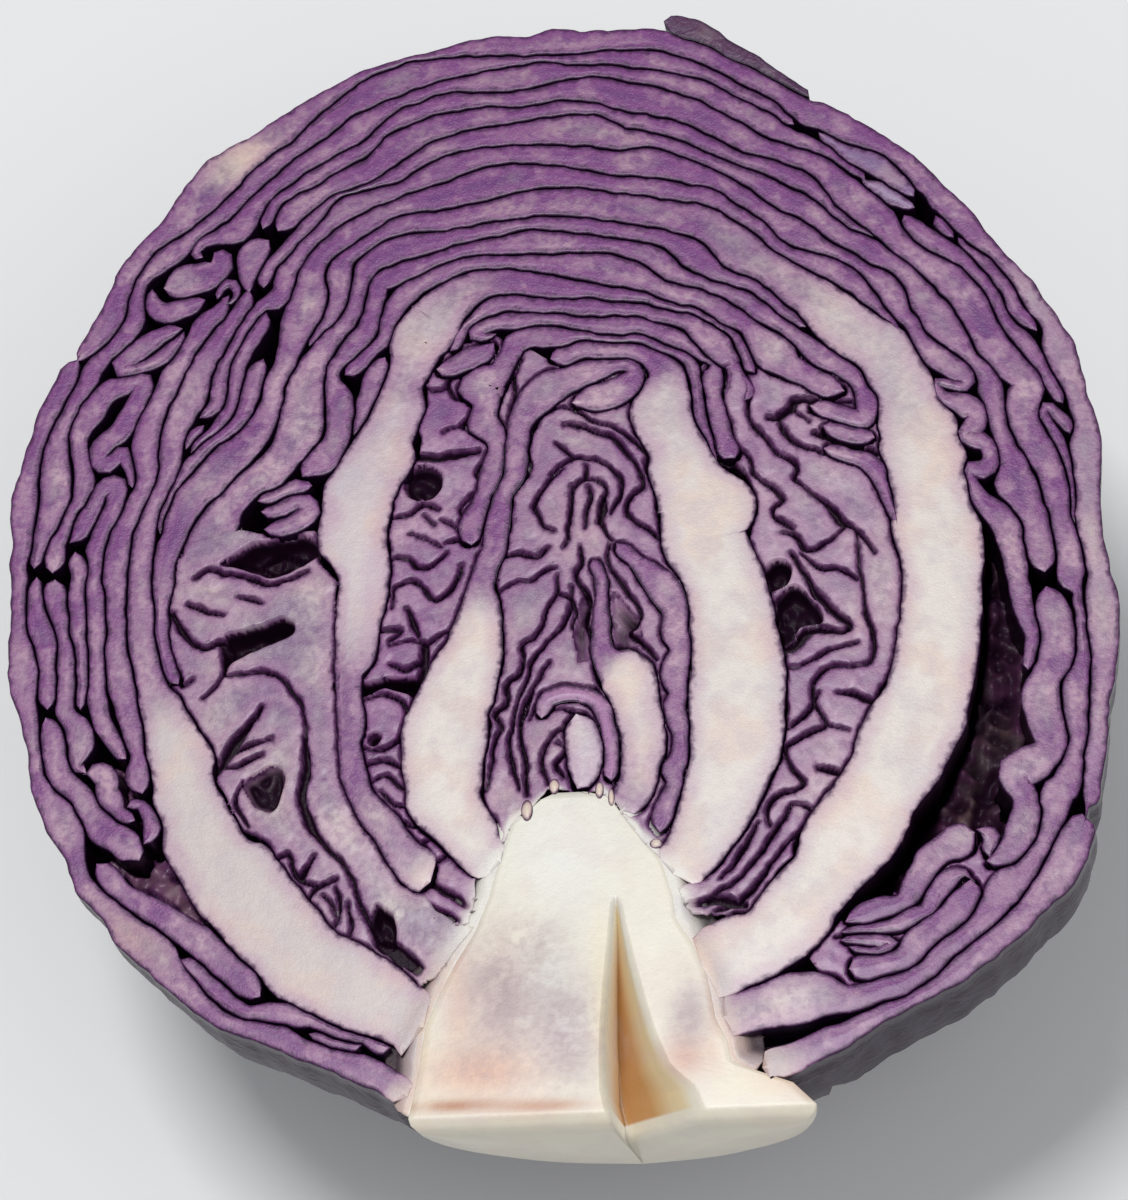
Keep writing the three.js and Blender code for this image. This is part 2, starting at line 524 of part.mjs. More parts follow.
// The drying crack is a wedge with a steep left wall, widest and deepest at the stem's end.
function crackSolid() {
  const { topX, topY, bottomY, leftX, rightX, deep } = CRACK;
  const corners = [
    new THREE.Vector3(topX, topY, CLEAR_OF_CUT),
    new THREE.Vector3(leftX, bottomY, CLEAR_OF_CUT),
    new THREE.Vector3(rightX, bottomY, CLEAR_OF_CUT),
    new THREE.Vector3(leftX + CRACK_LEAN, bottomY, -deep),
  ];
  return solidOf(corners, [[0, 1, 2], [0, 3, 1], [0, 2, 3], [1, 3, 2]]);
}

// The bud: the lower half of an egg, cut level with the rest.
function budSolid() {
  const egg = new THREE.SphereGeometry(1, EGG_SIDES, EGG_RINGS, 0, Math.PI);
  egg.deleteAttribute("normal");
  egg.deleteAttribute("uv");
  const half = [];
  const at = egg.attributes.position;
  for (let i = 0; i < at.count; i += 1) {
    const depth = at.getZ(i) < LEVEL ? 0 : BUD.deep * at.getZ(i);
    const x = BUD.x + BUD.across * at.getX(i);
    half.push(new THREE.Vector3(x, BUD.y + BUD.along * at.getY(i), -depth));
  }
  const triangles = [];
  const index = Array.from(egg.index.array);
  for (let i = 0; i < index.length; i += 3) {
    triangles.push([index[i], index[i + 1], index[i + 2]]);
  }
  const rim = half.map((point, i) => i).filter((i) => Math.abs(half[i].z) < LEVEL);
  rim.sort((i, j) => half[j].y - half[i].y);
  const left = rim.filter((i) => half[i].x < BUD.x - LEVEL);
  const right = rim.filter((i) => half[i].x > BUD.x + LEVEL);
  const pairs = [[rim[0], rim[0]], ...left.map((i, n) => [i, right[n]]), [rim.at(-1), rim.at(-1)]];
  for (let n = 1; n < pairs.length; n += 1) {
    const [[upperLeft, upperRight], [lowerLeft, lowerRight]] = [pairs[n - 1], pairs[n]];
    triangles.push([upperLeft, upperRight, lowerLeft], [upperRight, lowerRight, lowerLeft]);
  }
  return solidOf(half, triangles);
}

function named(name, solid, color) {
  const material = new THREE.MeshStandardMaterial({ color, roughness: ROUGHNESS, metalness: 0 });
  const mesh = new THREE.Mesh(geometryOf(solid), material);
  mesh.name = name;
  return mesh;
}

const cabbage = new THREE.Group();
cabbage.position.set(-CENTRE_X, -CENTRE_Y, REST_DEPTH);
cabbage.add(named("core", coreSolid(0).subtract(crackSolid()), CORE_FLESH));
cabbage.add(named(BUD.name, budSolid(), HEART_LEAF));
const room = coreSolid(FOOT_GAP);
LEAVES.forEach((leaf, k) => {
  cabbage.add(named(leaf.name, leafSolid(k).subtract(room), leaf.colour));
});

export default cabbage;
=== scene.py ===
import math
import bmesh
import bpy
import numpy as np
from mathutils import Matrix, Vector


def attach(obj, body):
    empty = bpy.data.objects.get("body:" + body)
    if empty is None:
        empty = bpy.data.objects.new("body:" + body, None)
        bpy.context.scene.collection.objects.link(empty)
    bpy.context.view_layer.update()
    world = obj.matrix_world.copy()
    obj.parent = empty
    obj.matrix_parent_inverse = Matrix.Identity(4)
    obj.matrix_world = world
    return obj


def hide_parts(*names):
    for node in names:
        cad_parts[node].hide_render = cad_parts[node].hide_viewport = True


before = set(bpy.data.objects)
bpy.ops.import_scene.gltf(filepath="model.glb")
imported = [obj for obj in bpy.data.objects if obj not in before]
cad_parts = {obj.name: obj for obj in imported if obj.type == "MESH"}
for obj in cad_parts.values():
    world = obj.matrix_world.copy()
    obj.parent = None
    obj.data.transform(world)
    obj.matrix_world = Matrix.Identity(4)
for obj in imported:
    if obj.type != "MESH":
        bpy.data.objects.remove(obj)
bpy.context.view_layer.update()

# ---------------------------------------------------------------- the head
# Half of a red cabbage lies on its back. The head is a nest of leaf bowls, each folded inside the
# one before, and the cut crosses them all: a leaf shows there as a wandering strip and runs on
# below as a curved wall. Places on the cut are in mm, across and towards the crown.
MM = 0.001
HEAD_DEPTH = 73.5
FACE_CENTRE = (1.74, -8.29, HEAD_DEPTH)
HUB = np.array([-1.0, 3.0])
random = np.random.default_rng(11)


def points(text):
    """Numbers written as x,y or x,y,half and separated by spaces, as an array of rows."""
    return np.array([[float(v) for v in word.split(",")] for word in text.split()])


OUTLINE = points(
    "-20,-71.3 -20.5,-70 -23,-69.5 -26,-67 -30,-65.2 -35,-63 -40,-60.5 -44,-59 -47,-57.5 -50,-55 "
    "-53,-52.5 -57,-48.5 -60,-45.5 -63.5,-41.5 -66,-38 -67.5,-34 -71,-28 -73,-22 -74.2,-18 -75.3,-13 "
    "-76.5,-9 -77,-5 -77,0 -77.1,8 -77.3,14 -77.4,18 -76.5,23 -75,29.5 -73,35 -71,39 -69,42.5 -65,50 "
    "-63.3,55 -60,59 -57,62 -55,65 -53,68 -50,71.3 -46,73.5 -40,77.5 -35,80.5 -30,83.3 -25,85.2 "
    "-20,86.3 -15,87.3 -10,87.8 -5,88 -2,88 5.5,87.8 10,87.5 14,87 20,84.3 25,81 30,77.8 34,75.2 37,73 "
    "40,71.3 45,67.6 48,65 51.3,62 53.5,58.8 56.5,55.2 60,50 64,45 66.5,41 68.5,37 70,33.3 71,29 "
    "72.2,24 72.8,21 72.9,12 73.3,6 73.6,2 74.4,-5 74.2,-10 73.6,-15 72.6,-20 72,-25 71.3,-29 70.2,-34 "
    "68.3,-38 65.5,-45 62,-47.5 60,-49.7 57,-52 54,-54.5 50,-57 45,-59.5 41,-61.5 38,-63.5 37,-66 "
    "36,-70 30,-71.8 16,-72 0,-72.9 -10,-72.3")
rim = OUTLINE - HUB
rim_bearing = np.arctan2(rim[:, 1], rim[:, 0])
rim_order = np.argsort(rim_bearing)
rim_bearing = rim_bearing[rim_order]
rim_reach = np.hypot(*rim.T)[rim_order]

WAVE_COUNT = 24
WAVES = random.normal(size=(WAVE_COUNT, 2))
WAVES /= np.hypot(*WAVES.T)[:, None]
WAVES *= (2 * math.pi / np.geomspace(11, 1.9, WAVE_COUNT))[:, None]
PHASES = random.uniform(0, 2 * math.pi, (WAVE_COUNT, 2))
SWAY = np.geomspace(0.05, 0.022, WAVE_COUNT)[:, None]


def unsteady(flat):
    """The cut face's points, shifted a little by a sum of waves, so no edge is drawn too cleanly."""
    turn = (flat[..., None, :] * WAVES).sum(-1)[..., None] + PHASES
    return flat + (SWAY * np.sin(turn)).sum(-2)


def sink(flat, latitude):
    """Where a point of the cut face goes when followed down along its bowl: towards the hub by the
    cosine of the latitude, and down by its sine times a depth that grows with the bowl's size."""
    away = unsteady(flat) - HUB
    bearing = np.arctan2(away[..., 1], away[..., 0])
    reach = np.interp(bearing, rim_bearing, rim_reach, period=2 * math.pi)
    share = np.hypot(away[..., 0], away[..., 1]) / reach
    depth = HEAD_DEPTH * np.sqrt((share**2 + 0.09) / 1.09)
    below = np.clip(-away[..., 1] / reach, 0, 1) * share**4
    swell = 1 + 0.05 * np.sin(2 * latitude) * below
    place = HUB + away * (np.cos(latitude) * swell)[..., None]
    return np.concatenate([place, (-depth * np.sin(latitude))[..., None]], -1)


# ---------------------------------------------------------------- outer leaves
# The four outermost leaves: the crown leaf that also closes the round back of the head, the long
# leaf on the left, the one at the lower right, and the torn scrap that stands up at the crown.
# A strip is a list of points: across, towards the crown, and half of the leaf's thickness there.
def running_length(curve):
    """How far along the curve each of its points lies, in mm."""
    return np.concatenate([[0], np.cumsum(np.hypot(*np.diff(curve[:, :2], axis=0).T))])


def spline(knots, step=0.8):
    """A smooth curve through the knots (centripetal Catmull-Rom), sampled every step mm."""
    knots = np.asarray(knots, float)
    if len(knots) < 3:
        middle = knots.mean(0, keepdims=True)
        knots = np.concatenate([knots[:1], middle, knots[-1:]])
    gaps = np.sqrt(np.maximum(np.hypot(*np.diff(knots[:, :2], axis=0).T), 0.05))
    t = np.concatenate([[0], np.cumsum(gaps)])
    slope = np.diff(knots, axis=0) / gaps[:, None]
    inner = slope[:-1] * gaps[1:, None] + slope[1:] * gaps[:-1, None]
    inner = inner / (gaps[1:] + gaps[:-1])[:, None]
    tangent = np.concatenate([slope[:1], inner, slope[-1:]])
    s = np.linspace(0, t[-1], 24 * len(knots))
    k = np.clip(np.searchsorted(t, s, side="right") - 1, 0, len(gaps) - 1)
    g = gaps[k][:, None]
    u = ((s - t[k]) / gaps[k])[:, None]
    dense = ((2 * u**3 - 3 * u**2 + 1) * knots[k] + (u**3 - 2 * u**2 + u) * g * tangent[k]
             + (3 * u**2 - 2 * u**3) * knots[k + 1] + (u**3 - u**2) * g * tangent[k + 1])
    along = running_length(dense)
    count = max(int(round(along[-1] / step)), 4) + 1
    even = np.linspace(0, along[-1], count)
    return np.stack([np.interp(even, along, dense[:, i]) for i in range(knots.shape[1])], 1)


SKIN_ALLOWANCE = 0.15


def between(edge_a, edge_b, count=24):
    """The middle of a strip from its two edges, matched by equal shares of their lengths."""
    sides = []
    for edge in (edge_a, edge_b):
        curve = spline(points(edge)[:, :2], 0.5)
        along = running_length(curve)
        even = np.linspace(0, along[-1], count)
        sides.append(np.stack([np.interp(even, along, curve[:, i]) for i in (0, 1)], 1))
    middle = (sides[0] + sides[1]) / 2
    across = np.hypot(*(sides[0] - sides[1]).T)
    return np.column_stack([middle, across / 2 - SKIN_ALLOWANCE])


HEART = np.array([0.0, -28.0])


def layer(upper, lower, start, end, step=2.2):
    """The part of a leaf between two creases over the crown, by angle round the heart."""
    angle = np.radians(np.linspace(start, end, max(int(abs(end - start) / step), 3)))
    radii = []
    for crease in (upper, lower):
        away = spline(points(crease)[:, :2], 0.5) - HEART
        bearing = np.arctan2(away[:, 0], away[:, 1])
        order = np.argsort(bearing)
        radii.append(np.interp(angle, bearing[order], np.hypot(*away.T)[order]))
    mid = (radii[0] + radii[1]) / 2
    half = (radii[0] - radii[1]) / 2 - SKIN_ALLOWANCE
    return np.column_stack([HEART[0] + mid * np.sin(angle), HEART[1] + mid * np.cos(angle), half])


def strip(*parts):
    """Joins stretches of one strip, given as text or as arrays, in the order they follow."""
    return np.concatenate([points(p) if isinstance(p, str) else p for p in parts])


# The dark lines where one leaf's skin meets the next over the crown, counted from outside.
CREASE = {
    0: "-69,42.5 -65,50 -63.3,55 -60,59 -57,62 -55,65 -53,68 -50,71.3 -46,73.5 -40,77.5 -35,80.5 "
       "-30,83.3 -25,85 -20,85.9 -15,87.2 -10,87.6 -5,87.2 -2,87.9 5.5,87.3 10,87.3 14,87 20,84.3 "
       "25,81 30,77.8 34,75.2 37,73 40,71.3 45,67.6 48,65 51.3,62 53.5,58.8 56.5,55.2 60,50 64,45 "
       "66.5,41 68.5,37 70,33.3 71,29 72.3,24 72.8,21 72.5,12 72.5,9 73.2,2 74.4,-5 74,-10 73.5,-15 "
       "72.5,-20 72,-25 71.3,-29 70.2,-34 68.3,-38",
    1: "-69.5,39.6 -68,40.5 -66.5,42 -65,43 -63.8,44.5 -63.2,47 -62.6,49 -61.8,52 -60.5,55 -58.5,57.3 "
       "-56,58.7 -54,59.7 -52.5,61 -49.5,64 -47,66.3 -45.3,68 -44,70 -41.5,71.5 -39.5,73 -37.5,75.5 "
       "-32,80.2 -25,84 -20,85 -10,84.9 0,84.3 8,84.5 15,83.5 20,81 25,77.8 30,74.5 34,71 37.5,68.7 "
       "39.5,67 43,66.2 46.5,64 48.5,61.2 51,58 53.5,54 57,50 60,47.6 62.8,43.5 64.5,40 66.2,36 "
       "66.6,34 66.8,31.5 69,26.5 70.1,22 69.7,17 69.7,12 69.8,8 70.8,2 70.8,-10 71,-15 70.5,-20 "
       "70,-24 69.6,-28 69,-31 68,-37",
    3: "-53.8,55.5 -53.3,57.5 -52,59 -50.5,59.8 -48.8,60.2 -47.5,61 -47,62.8 -45.5,64.3 -44.5,65.5 "
       "-42.5,66.8 -40.5,68 -39.5,69.5 -38,71 -35,73 -30,76.8 -24,79.2 -20,80.9 -13,82 -6,83.2 0,82.8 "
       "10,81.4 15,80.2 20,78.8 24,76 26,75 30,72.3 33.5,69.3 37.5,66.3 40.5,63.8 43.3,61.6 46.8,59.8",
    4: "-51.7,56.9 -50,57.2 -48,57.3 -46,58 -45,59 -44,60 -43.7,61 -43.3,62.8 -42.3,64.5 -41,65.3 "
       "-39.5,66 -38,67.5 -36,69 -31,71.2 -29.5,72 -27.5,74.5 -25,76.5 -18,79 -10,79 -6.5,78.6 0,80.3 "
       "8,79.5 15,77.2 20,75 26,70.8 30,68 34,66.5 37,65 40,62.8 42.5,60 45,57 46.5,55.5 47.3,53.5 "
       "50,50.3 54,47.8 57.5,44.5 59.3,40 61.2,36",
    5: "-43.9,60 -42,60 -41.2,61.3 -40.5,63 -39,64.3 -37,65.3 -33,67.5 -30,68.9 -27,71 -25,73.3 -18,76 "
       "-14,76.7 -6,76.2 1,76.9 7,75.4 10,74.1 16,72.6 20,70.2 26,66.5 33,63.8 36,61.3 38,58.5 40,56 "
       "43.5,52.5 45.5,50.8 47.3,48 50.5,45 52,43 54,41.3 55.5,38 56.3,36",
    6: "-44.4,49 -44.2,52 -43.2,54.3 -41.3,55.5 -39.5,57.2 -38.3,59.3 -36,62 -33,64 -26,66.8 -22,70 "
       "-14,73 -5,74 3,74.6 8,72.4 16,69.5 23,65.7 31,61.7 36,58 38.5,55.5 41,53 44,51.8 46,50",
    7: "-40.3,53.5 -39.7,55 -38,56.5 -36.5,58 -35,60 -33,62.8 -31,64.2 -24,65.4 -21,67 -19,68.7 -12,70 "
       "0,69.7 8,68.3 13,68 20,65 27,60.3 30,57.3 34,55.2 37,52.3 40.3,50 43.5,47.8 46.5,45.6 "
       "47.4,44.3 48,41.5 49,39.5 52,36",
    8: "-40.7,45 -40,46 -39,48 -38.5,50 -38,52 -36.8,54.5 -35,56 -33,58.5 -26,62.1 -18,64.9 -10,67.1 "
       "0,66.3 8,64.2 15,63.2 23,60 29,54.5 33,51 36,50.1 40,48 42.7,45 44.5,41.8 46,40.2 48.3,36",
    9: "-37.5,38 -36.8,40 -36.5,41.5 -35.5,43 -34.2,45 -33.7,46 -33.7,48 -34,50 -34,52.5 -33,54.7 "
       "-30,56.3 -24,60 -17,60.6 -10,62 -3,63.1 5,62.1 13,60.5 20,58.5 23,57 28,52.5 33,48.5 36,46.6 "
       "40,43.6 43,40 46,36.7 48,34.5 50.3,31",
    10: "-36.8,39.7 -35.8,40.5 -34.5,42 -32.5,44.5 -31.5,46 -30.5,48 -30.3,53 -26,55.8 -23,57.2 "
        "-16,57.3 -6,58.5 2,58.2 8,56.7 16,54.7 19,53.2 22,49.9 24,48.2 26.5,46.5 29,45 31,43 33,40.8 "
        "35,38.5 36,37.5",
    11: "-33,38.2 -32,40.2 -31,41.3 -29.8,42.3 -29,44 -28.7,46 -28,48 -27.5,50.5 -26,52 -20,53.6 "
        "-13,55.4 -3,56.5 3,55.3 11,53.7 14,52.8 15.8,50.3 17.5,48.8 20.5,47.3 23,46.2 25.5,45 "
        "27.5,43.8 29,42.5 31.5,40 33,38.6 34.5,37.8 36,37.3",
    12: "-31,36.7 -29.5,38 -28,39.5 -26.6,41.3 -26,43 -26.2,45 -25.8,47 -24.8,48.4 -19,51.3 -13,53.2 "
        "-5,52.7 5,52.4 8,51.9 11,50 12.5,48.8 14.5,47.5 17,46.4 20,45.3 22.5,44 24.5,42.5 26,41 "
        "28,39.8 30,38.5 31.5,37 32.5,35.5 33.5,34.3 34,33.2 35.5,32.2 37.5,31.3",
    13: "-24,40 -23.3,42 -22.3,44 -20.5,45.7 -18,48 -15.5,50 -12,50.9 -4,50 0,49 3,48 6,46.9 9,46.5 "
        "11,45.8 13,44.8 15,44 17,43.2 19,42.5 21,41.3 23,39.8 25,38.5 25.7,37 25.8,35.5 26.5,33.8 "
        "27.5,32.8 29,32.3 30,31.5",
    14: "-17,38 -16.2,39.5 -15,43 -13.5,44.8 -12,45.8 -10,46.6 0,45.5 5,45 8,44.7 11,43.9 14,43 17,42 "
        "19.5,41 22,39.3 23.5,37.5 24,35.8 24.5,34 25.5,32.5 27,31.2 28,30.7 29.5,30.8",
    15: "-13.6,39.7 -13.8,40.8 -13,42 -11.5,43.3 -10,44 -4,43.5 0,43.2 2,42.6 5,42.5 8,42.6 10,42 "
        "12.5,41.2 15,40.5 17,39.5 18.2,38.3 19,36.8 20,35.5 21.5,34 22.7,32.5 23.3,31.7",
    16: "-8.5,40.6 -6,41.5 -4,41.7 0,41 3,40.3 6,39.6 9,39.3 12,38.9 14,38 16,36.7 18,35.4 19.3,34.5 "
        "19.7,33.5",
    17: "-5,38.8 -2,37.9 0,38.4 3,38.5 6,38.1 9,37.8 11.5,37.2 14,36 16,34.8 17,33.5 17.3,32"}
leaves = {}
leaves["top_wrapper_leaf"] = [layer(CREASE[0], CREASE[1], -45.5, 97, 2)]
leaves["left_wrapper_leaf"] = [
    strip("-20.8,-69,1 -23,-67,1.2 -27,-65,1.2 -33,-62.6,1.1 -40,-59.4,1.1 -44,-57.8,1.1 -48,-55.3,1.2 "
          "-52.3,-50.5,1.9 -56.5,-46.6,1.9 -59.6,-44,1.5 -62.8,-40.8,1 -65.3,-37.6,1 -66.6,-34,1 "
          "-69,-28,1.9 -72.1,-22,1 -73.1,-18,.8 -74,-14,.95 -74.8,-11,1.1 -75,-8,1.6 -75.4,-5,1.6 "
          "-76.2,-1,.9 -76.4,3,.7 -76.4,8,.8 -76.4,10,1 -76,14,1.2 -76,18,1.7 -75.7,22,1.4 -74.8,27,1 "
          "-74,31,.9 -72.2,35,1.2 -70.8,38,1.1 -69.8,40.3,.8 -68.9,42,.4")]
leaves["right_wrapper_leaf"] = [
    between("68.5,-32 64.5,-40 62,-43 60,-46 57,-49 53.5,-51.7 51,-54 48,-56.5 43,-59 39,-60.5 36,-62 "
            "34,-62.7 28,-64.8 25.5,-65.6",
            "69,-36 65.4,-44.5 62.2,-47 60,-49.7 57,-52 54,-54.5 50,-57 45,-59.5 41,-61.5 38,-63.3 "
            "35,-65 30,-67.3 26.5,-68.3",
            28)]
leaves["torn_leaf_scrap"] = [
    strip("14.3,88.6,.9 16.5,87.7,1.3 20,85.9,1.1 24,83.2,.8 28,80.3,.6 32,77.2,.4 35,74.8,.3")]

# ---------------------------------------------------------------- thin leaf blades
# Thin purple blades lie under the wrapper leaves. They run over the crown and down both sides,
# where they crumple into separate folds, so one leaf is several strips on the cut.
leaves["lower_left_leaf"] = [
    between("-63,-34 -60,-37.5 -57,-40 -54,-41.5 -51,-43.5 -48,-45.5 -45.5,-48 -43,-50 -41,-52 "
            "-40.2,-54",
            "-64.5,-36 -61,-40 -57,-42.5 -54,-45 -51,-47.3 -49,-49 -46,-52 -44,-54 -41.5,-55", 14),
    strip("-52,-49,1 -47,-54,1 -43,-56.5,1 -38,-57,1 -35,-57.5,1 -30,-60,1 -25,-61.7,1 -23,-62.3,1"),
    strip("-34,-60,.6 -30.5,-61.3,.7 -27,-62,.5")]
leaves["head_leaf_01"] = [
    strip("-74.6,9,1 -74.3,12,1 -74,14,1.2 -73,17,1.8 -72.3,20,2.2 -72.5,22,2 -72.8,24.5,1.7 "
          "-72.4,27,1.5 -71.5,29.5,1 -70.8,31.5,.9 -69.4,34.5,1 -68.2,37,1 -67,39.5,1.1 -65,41.8,1.2 "
          "-63.2,44.5,1.2 -62,46.5,1.3 -61.4,50,1.2 -60,53,1 -58,55.5,1.4 -56,57,1.4 -54.5,57.8,1.3 "
          "-52.5,59.8,1.2 -50,62,1.3 -46.5,64.5,1.6 -43.5,68.5,2",
          layer(CREASE[1], CREASE[3], -21, 18.5)),
    strip("-37,75.3,.3 -34,77.6,.6 -30,80.3,.8 -26,82.5,.8 -22,83.8,.5 -20.5,83.8,.3"),
    strip("-74.3,7.5,.5 -74.3,6,1 -74.3,3.5,1.2 -73.2,0,1.5 -72.4,-3,1.4 -72,-6,1.1 -71.9,-10,1 "
          "-71.8,-12,.9"),
    strip("-71.8,-13.3,.9 -70.9,-16,1.4 -70.5,-19.5,1.7 -69.3,-22.2,1.8 -67.2,-24.3,1.8 "
          "-65.7,-26.3,1.7 -64.2,-28.3,1.7 -62.3,-30.3,1.7 -60.3,-31.7,1.8 -58.5,-33.3,1.7 "
          "-57.9,-34.5,1"),
    strip("36,69,.5 38.5,67.4,.6 41,65.6,1 43.5,63.8,1.6 46,61.8,1.5 48,59.8,1.2 49.5,57.9,.8")]
leaves["head_leaf_02"] = [
    strip("-52,55.6,.5 -53.3,56.3,.7 -52.5,58,.8 -50,58.5,1 -47.5,59.3,1.3 -46,61,1.6 -45,63,1.8 "
          "-43,65.5,1.5 -41,67,1.3",
          layer(CREASE[3], CREASE[4], -21.5, 25.5)),
    strip("42,61.5,.6 44,60,.8 46,58.8,1 48,57.3,.9 49.5,56,.6"),
    strip("47.8,55.2,.5 48.6,53.7,.9 50.5,52,1.1 53,50.3,1.2 55.5,48.2,1 57.5,46,1 59,43.5,.9 "
          "60.6,40,.9 62.2,37,.9 63.9,34.8,1 65.4,32.2,.9 66.8,29.7,.8 68,27.4,.7 68.9,25,.5"),
    strip("52.2,54.8,.5 53.3,53.2,.7 54.7,51.3,.6"),
    strip("55.3,51.3,.5 56.5,49.6,.6 58,48.1,.7 59.5,46.2,.7 60.7,44.2,.6 61.7,42.5,.7 62.8,40,1.1 "
          "64.3,38,1 65.5,36.2,.8"),
    strip("69.4,20.6,.4 69,22,.5 68,23.3,.5 67.3,24.5,.5 66.4,24.9,.5 66,24,.5 66.5,22.6,.6 "
          "67.3,20.5,.7 68.2,18,.6 69,15,.6 69.4,11.5,.5 69.8,7.4,.2"),
    strip("-59.3,51,.9 -59,48.8,1.2 -57.3,47.1,1.1 -54.5,47.9,1.1 -51.5,48.6,1.2"),
    strip("-57.5,51,1.7 -54.5,51.5,2.2 -51.5,52.5,2.6 -49.5,54.7,1.7 -50.6,56.3,.7"),
    strip("-49.7,48.5,.5 -49.2,50.3,.6 -47.9,51.3,.7 -47,50.3,.7 -47.3,48.8,.6 -48.5,47.8,.5"),
    strip("-54.6,44.7,.8 -57,43.6,1 -59.5,42.2,1.3 -62,40.3,1.3 -63.6,38.7,1 -62,38.6,.8 -59.5,39.2,.9 "
          "-57,40.6,.9 -55.2,42.8,.8 -54.4,44.2,.6"),
    strip("-71.7,8,1.5 -71.5,11,1.4 -70.2,14,1.1 -69,17,.9 -67.9,19,.9 -67.5,21,.95 -68,23.5,.9 "
          "-68.8,26,1 -69,28.5,1.1 -68.3,31,1.4 -67,33,1.6 -65.5,35,1.1 -63,36.3,1.3 -61,36.9,1 "
          "-59.7,36.4,1 -60.2,34.5,1.2 -61.3,32,1.4 -62.2,30,1.4 -63.8,28.4,1.1 -65.5,27,1 "
          "-66.4,25.8,.9 -66,24.5,.9 -64.8,24,.9 -63.6,25,.8 -62.6,25.9,.8 -61.9,24.6,.6 "
          "-61.2,22.4,.55 -60.9,20.3,.3"),
    between("-73,6 -73,4 -72.3,2.5 -71,0 -70.6,-1 -70.7,-5 -70.5,-9 -70,-13 -69,-16 -68.6,-20 -68,-22 "
            "-66.5,-22.9",
            "-69.7,8 -70,4 -69.7,2 -69.5,-.5 -69,-2 -68,-3.5 -67.8,-5 -68.2,-9 -67.9,-12 -66.5,-13.5 "
            "-65.7,-15 -65.5,-16.5 -66.3,-18.5 -67,-20 -66.8,-20.7 -65,-20.6",
            18),
    strip("-66.5,-22,1.1 -64.5,-21.6,1.1 -63,-22.5,1.2 -63,-24.5,1.1 -62,-26.5,1.2 -60.5,-28,1.2 "
          "-58.8,-29,1.2"),
    strip("-60,-27,.8 -58,-26.5,.8 -57,-28.5,.8 -56.5,-30.5,.9 -57.3,-32.3,.6")]
leaves["head_leaf_03"] = [
    strip("-43.5,59.6,.6 -42.6,61.5,1 -41.6,63.6,1", layer(CREASE[4], CREASE[5], -23, 42),
          "58.8,36.5,2.2 60.2,33.5,2 62,31.2,1.7 63.8,29.5,1.8 64.3,27.8,1.7 63.5,26.3,2 63.2,24,2.1 "
          "64,21,2.3 65.5,18.2,2.3 66.7,15.7,1.9 67.1,13,1.7 67.4,10,1.5 68.2,6,1.6 68.7,3,1.7 "
          "68.8,-1,1.8",
          between("69,-2 69.3,-8 69,-12 67.5,-15 67.3,-20 67.5,-24 66.5,-28 64.5,-30",
                  "70,-2 70.5,-10 70.8,-15 70,-20 69.8,-24 69,-27 68.5,-31", 12),
          between("63.2,-31 63.5,-34 62.8,-37 60.3,-41 57,-42.3 55.5,-43.5 54.8,-46 52.5,-48.5 "
                  "49.5,-51 47.5,-53.3 44,-55 40,-56 36,-56.5 34,-55.5 30,-55 26,-56 20.5,-57.5",
                  "68.5,-31 66.8,-35 64.5,-39 62.5,-42 60.5,-45 58,-47.5 55,-50 51.5,-52.5 49,-55 "
                  "45,-57 40,-58.5 34,-59.8 31,-60.2 28,-60.8 21.5,-62",
                  26)),
    strip("-69.4,12.6,.8 -68.5,14.5,1.3 -67.3,16.8,1.4 -66.3,18.8,1.2 -64.8,20.9,.9 -63.2,20.7,1 "
          "-63,18.5,1.3 -64,16,1.1 -65,14,1 -65.9,11.5,1 -66.2,8,.95 -65.8,4,1.2 -65.3,0,1.2 "
          "-65,-4,1.1 -65,-8,1 -64.8,-11,.9 -64,-14,.8 -62.8,-16.5,.8 -61.3,-18.5,.7 -60.4,-20,.6"),
    strip("-68.6,11.2,.4 -68.3,9.5,1 -68,8,1.1 -68.4,4,1 -68,0,.9 -67.4,-4,.8 -67.3,-8,.7 "
          "-67,-12.5,.5")]
leaves["head_leaf_04"] = [
    strip("-41,58.8,1.2 -39.8,61.2,1.7", layer(CREASE[5], CREASE[6], -21, 28.5)),
    strip("65.3,-1.5,1.6 66,-5.5,2 66.5,-9,2 66,-12.5,1.9 64.4,-15,1.9 64.2,-18.5,1.9 65,-21.5,1.8 "
          "65.2,-24.5,1.5 63.3,-26.6,1.9 60.3,-27.9,1.9 60.5,-29.3,1.2 61.7,-31.5,1.4 61.5,-34.5,1.6 "
          "60,-37.5,1.8 57.7,-39.3,1.6 56,-39.8,1"),
    strip("55,-35.5,.8 56.8,-37,1.2 56.5,-39.5,1"),
    between("54.5,-34.3 52,-35 50,-36.5 48,-38 47,-40 45.5,-42 45,-44 43.5,-45 41,-44.8 38.5,-46 "
            "36.5,-47.3",
            "55.2,-37.5 54,-38.5 51,-39.5 49,-41 47.8,-43 46.5,-45 44.5,-46.2 42,-47.5 38,-47.8", 14),
    strip("37,-48.8,.5 40,-48.6,.7 43,-48.6,.8 46,-47.3,.9 48.3,-46.5,1 49.3,-44.5,1 50.5,-43,1 "
          "53,-41.8,1 54.4,-42.8,1"),
    between("55.5,-41.5 55.5,-43 54.5,-45 53,-47 51,-48.5 49,-50 47.5,-52 45,-53.5 42,-54.5 39,-55.5",
            "52.3,-43.5 52,-45 50.5,-46.5 48,-48 46,-49.3 44.8,-50.5 43,-52.7 40,-53.3 36,-52.5", 14),
    strip("37,-50,.8 40,-50,.8 43.5,-51,.9 41,-51.6,.6 38,-50.9,.5")]
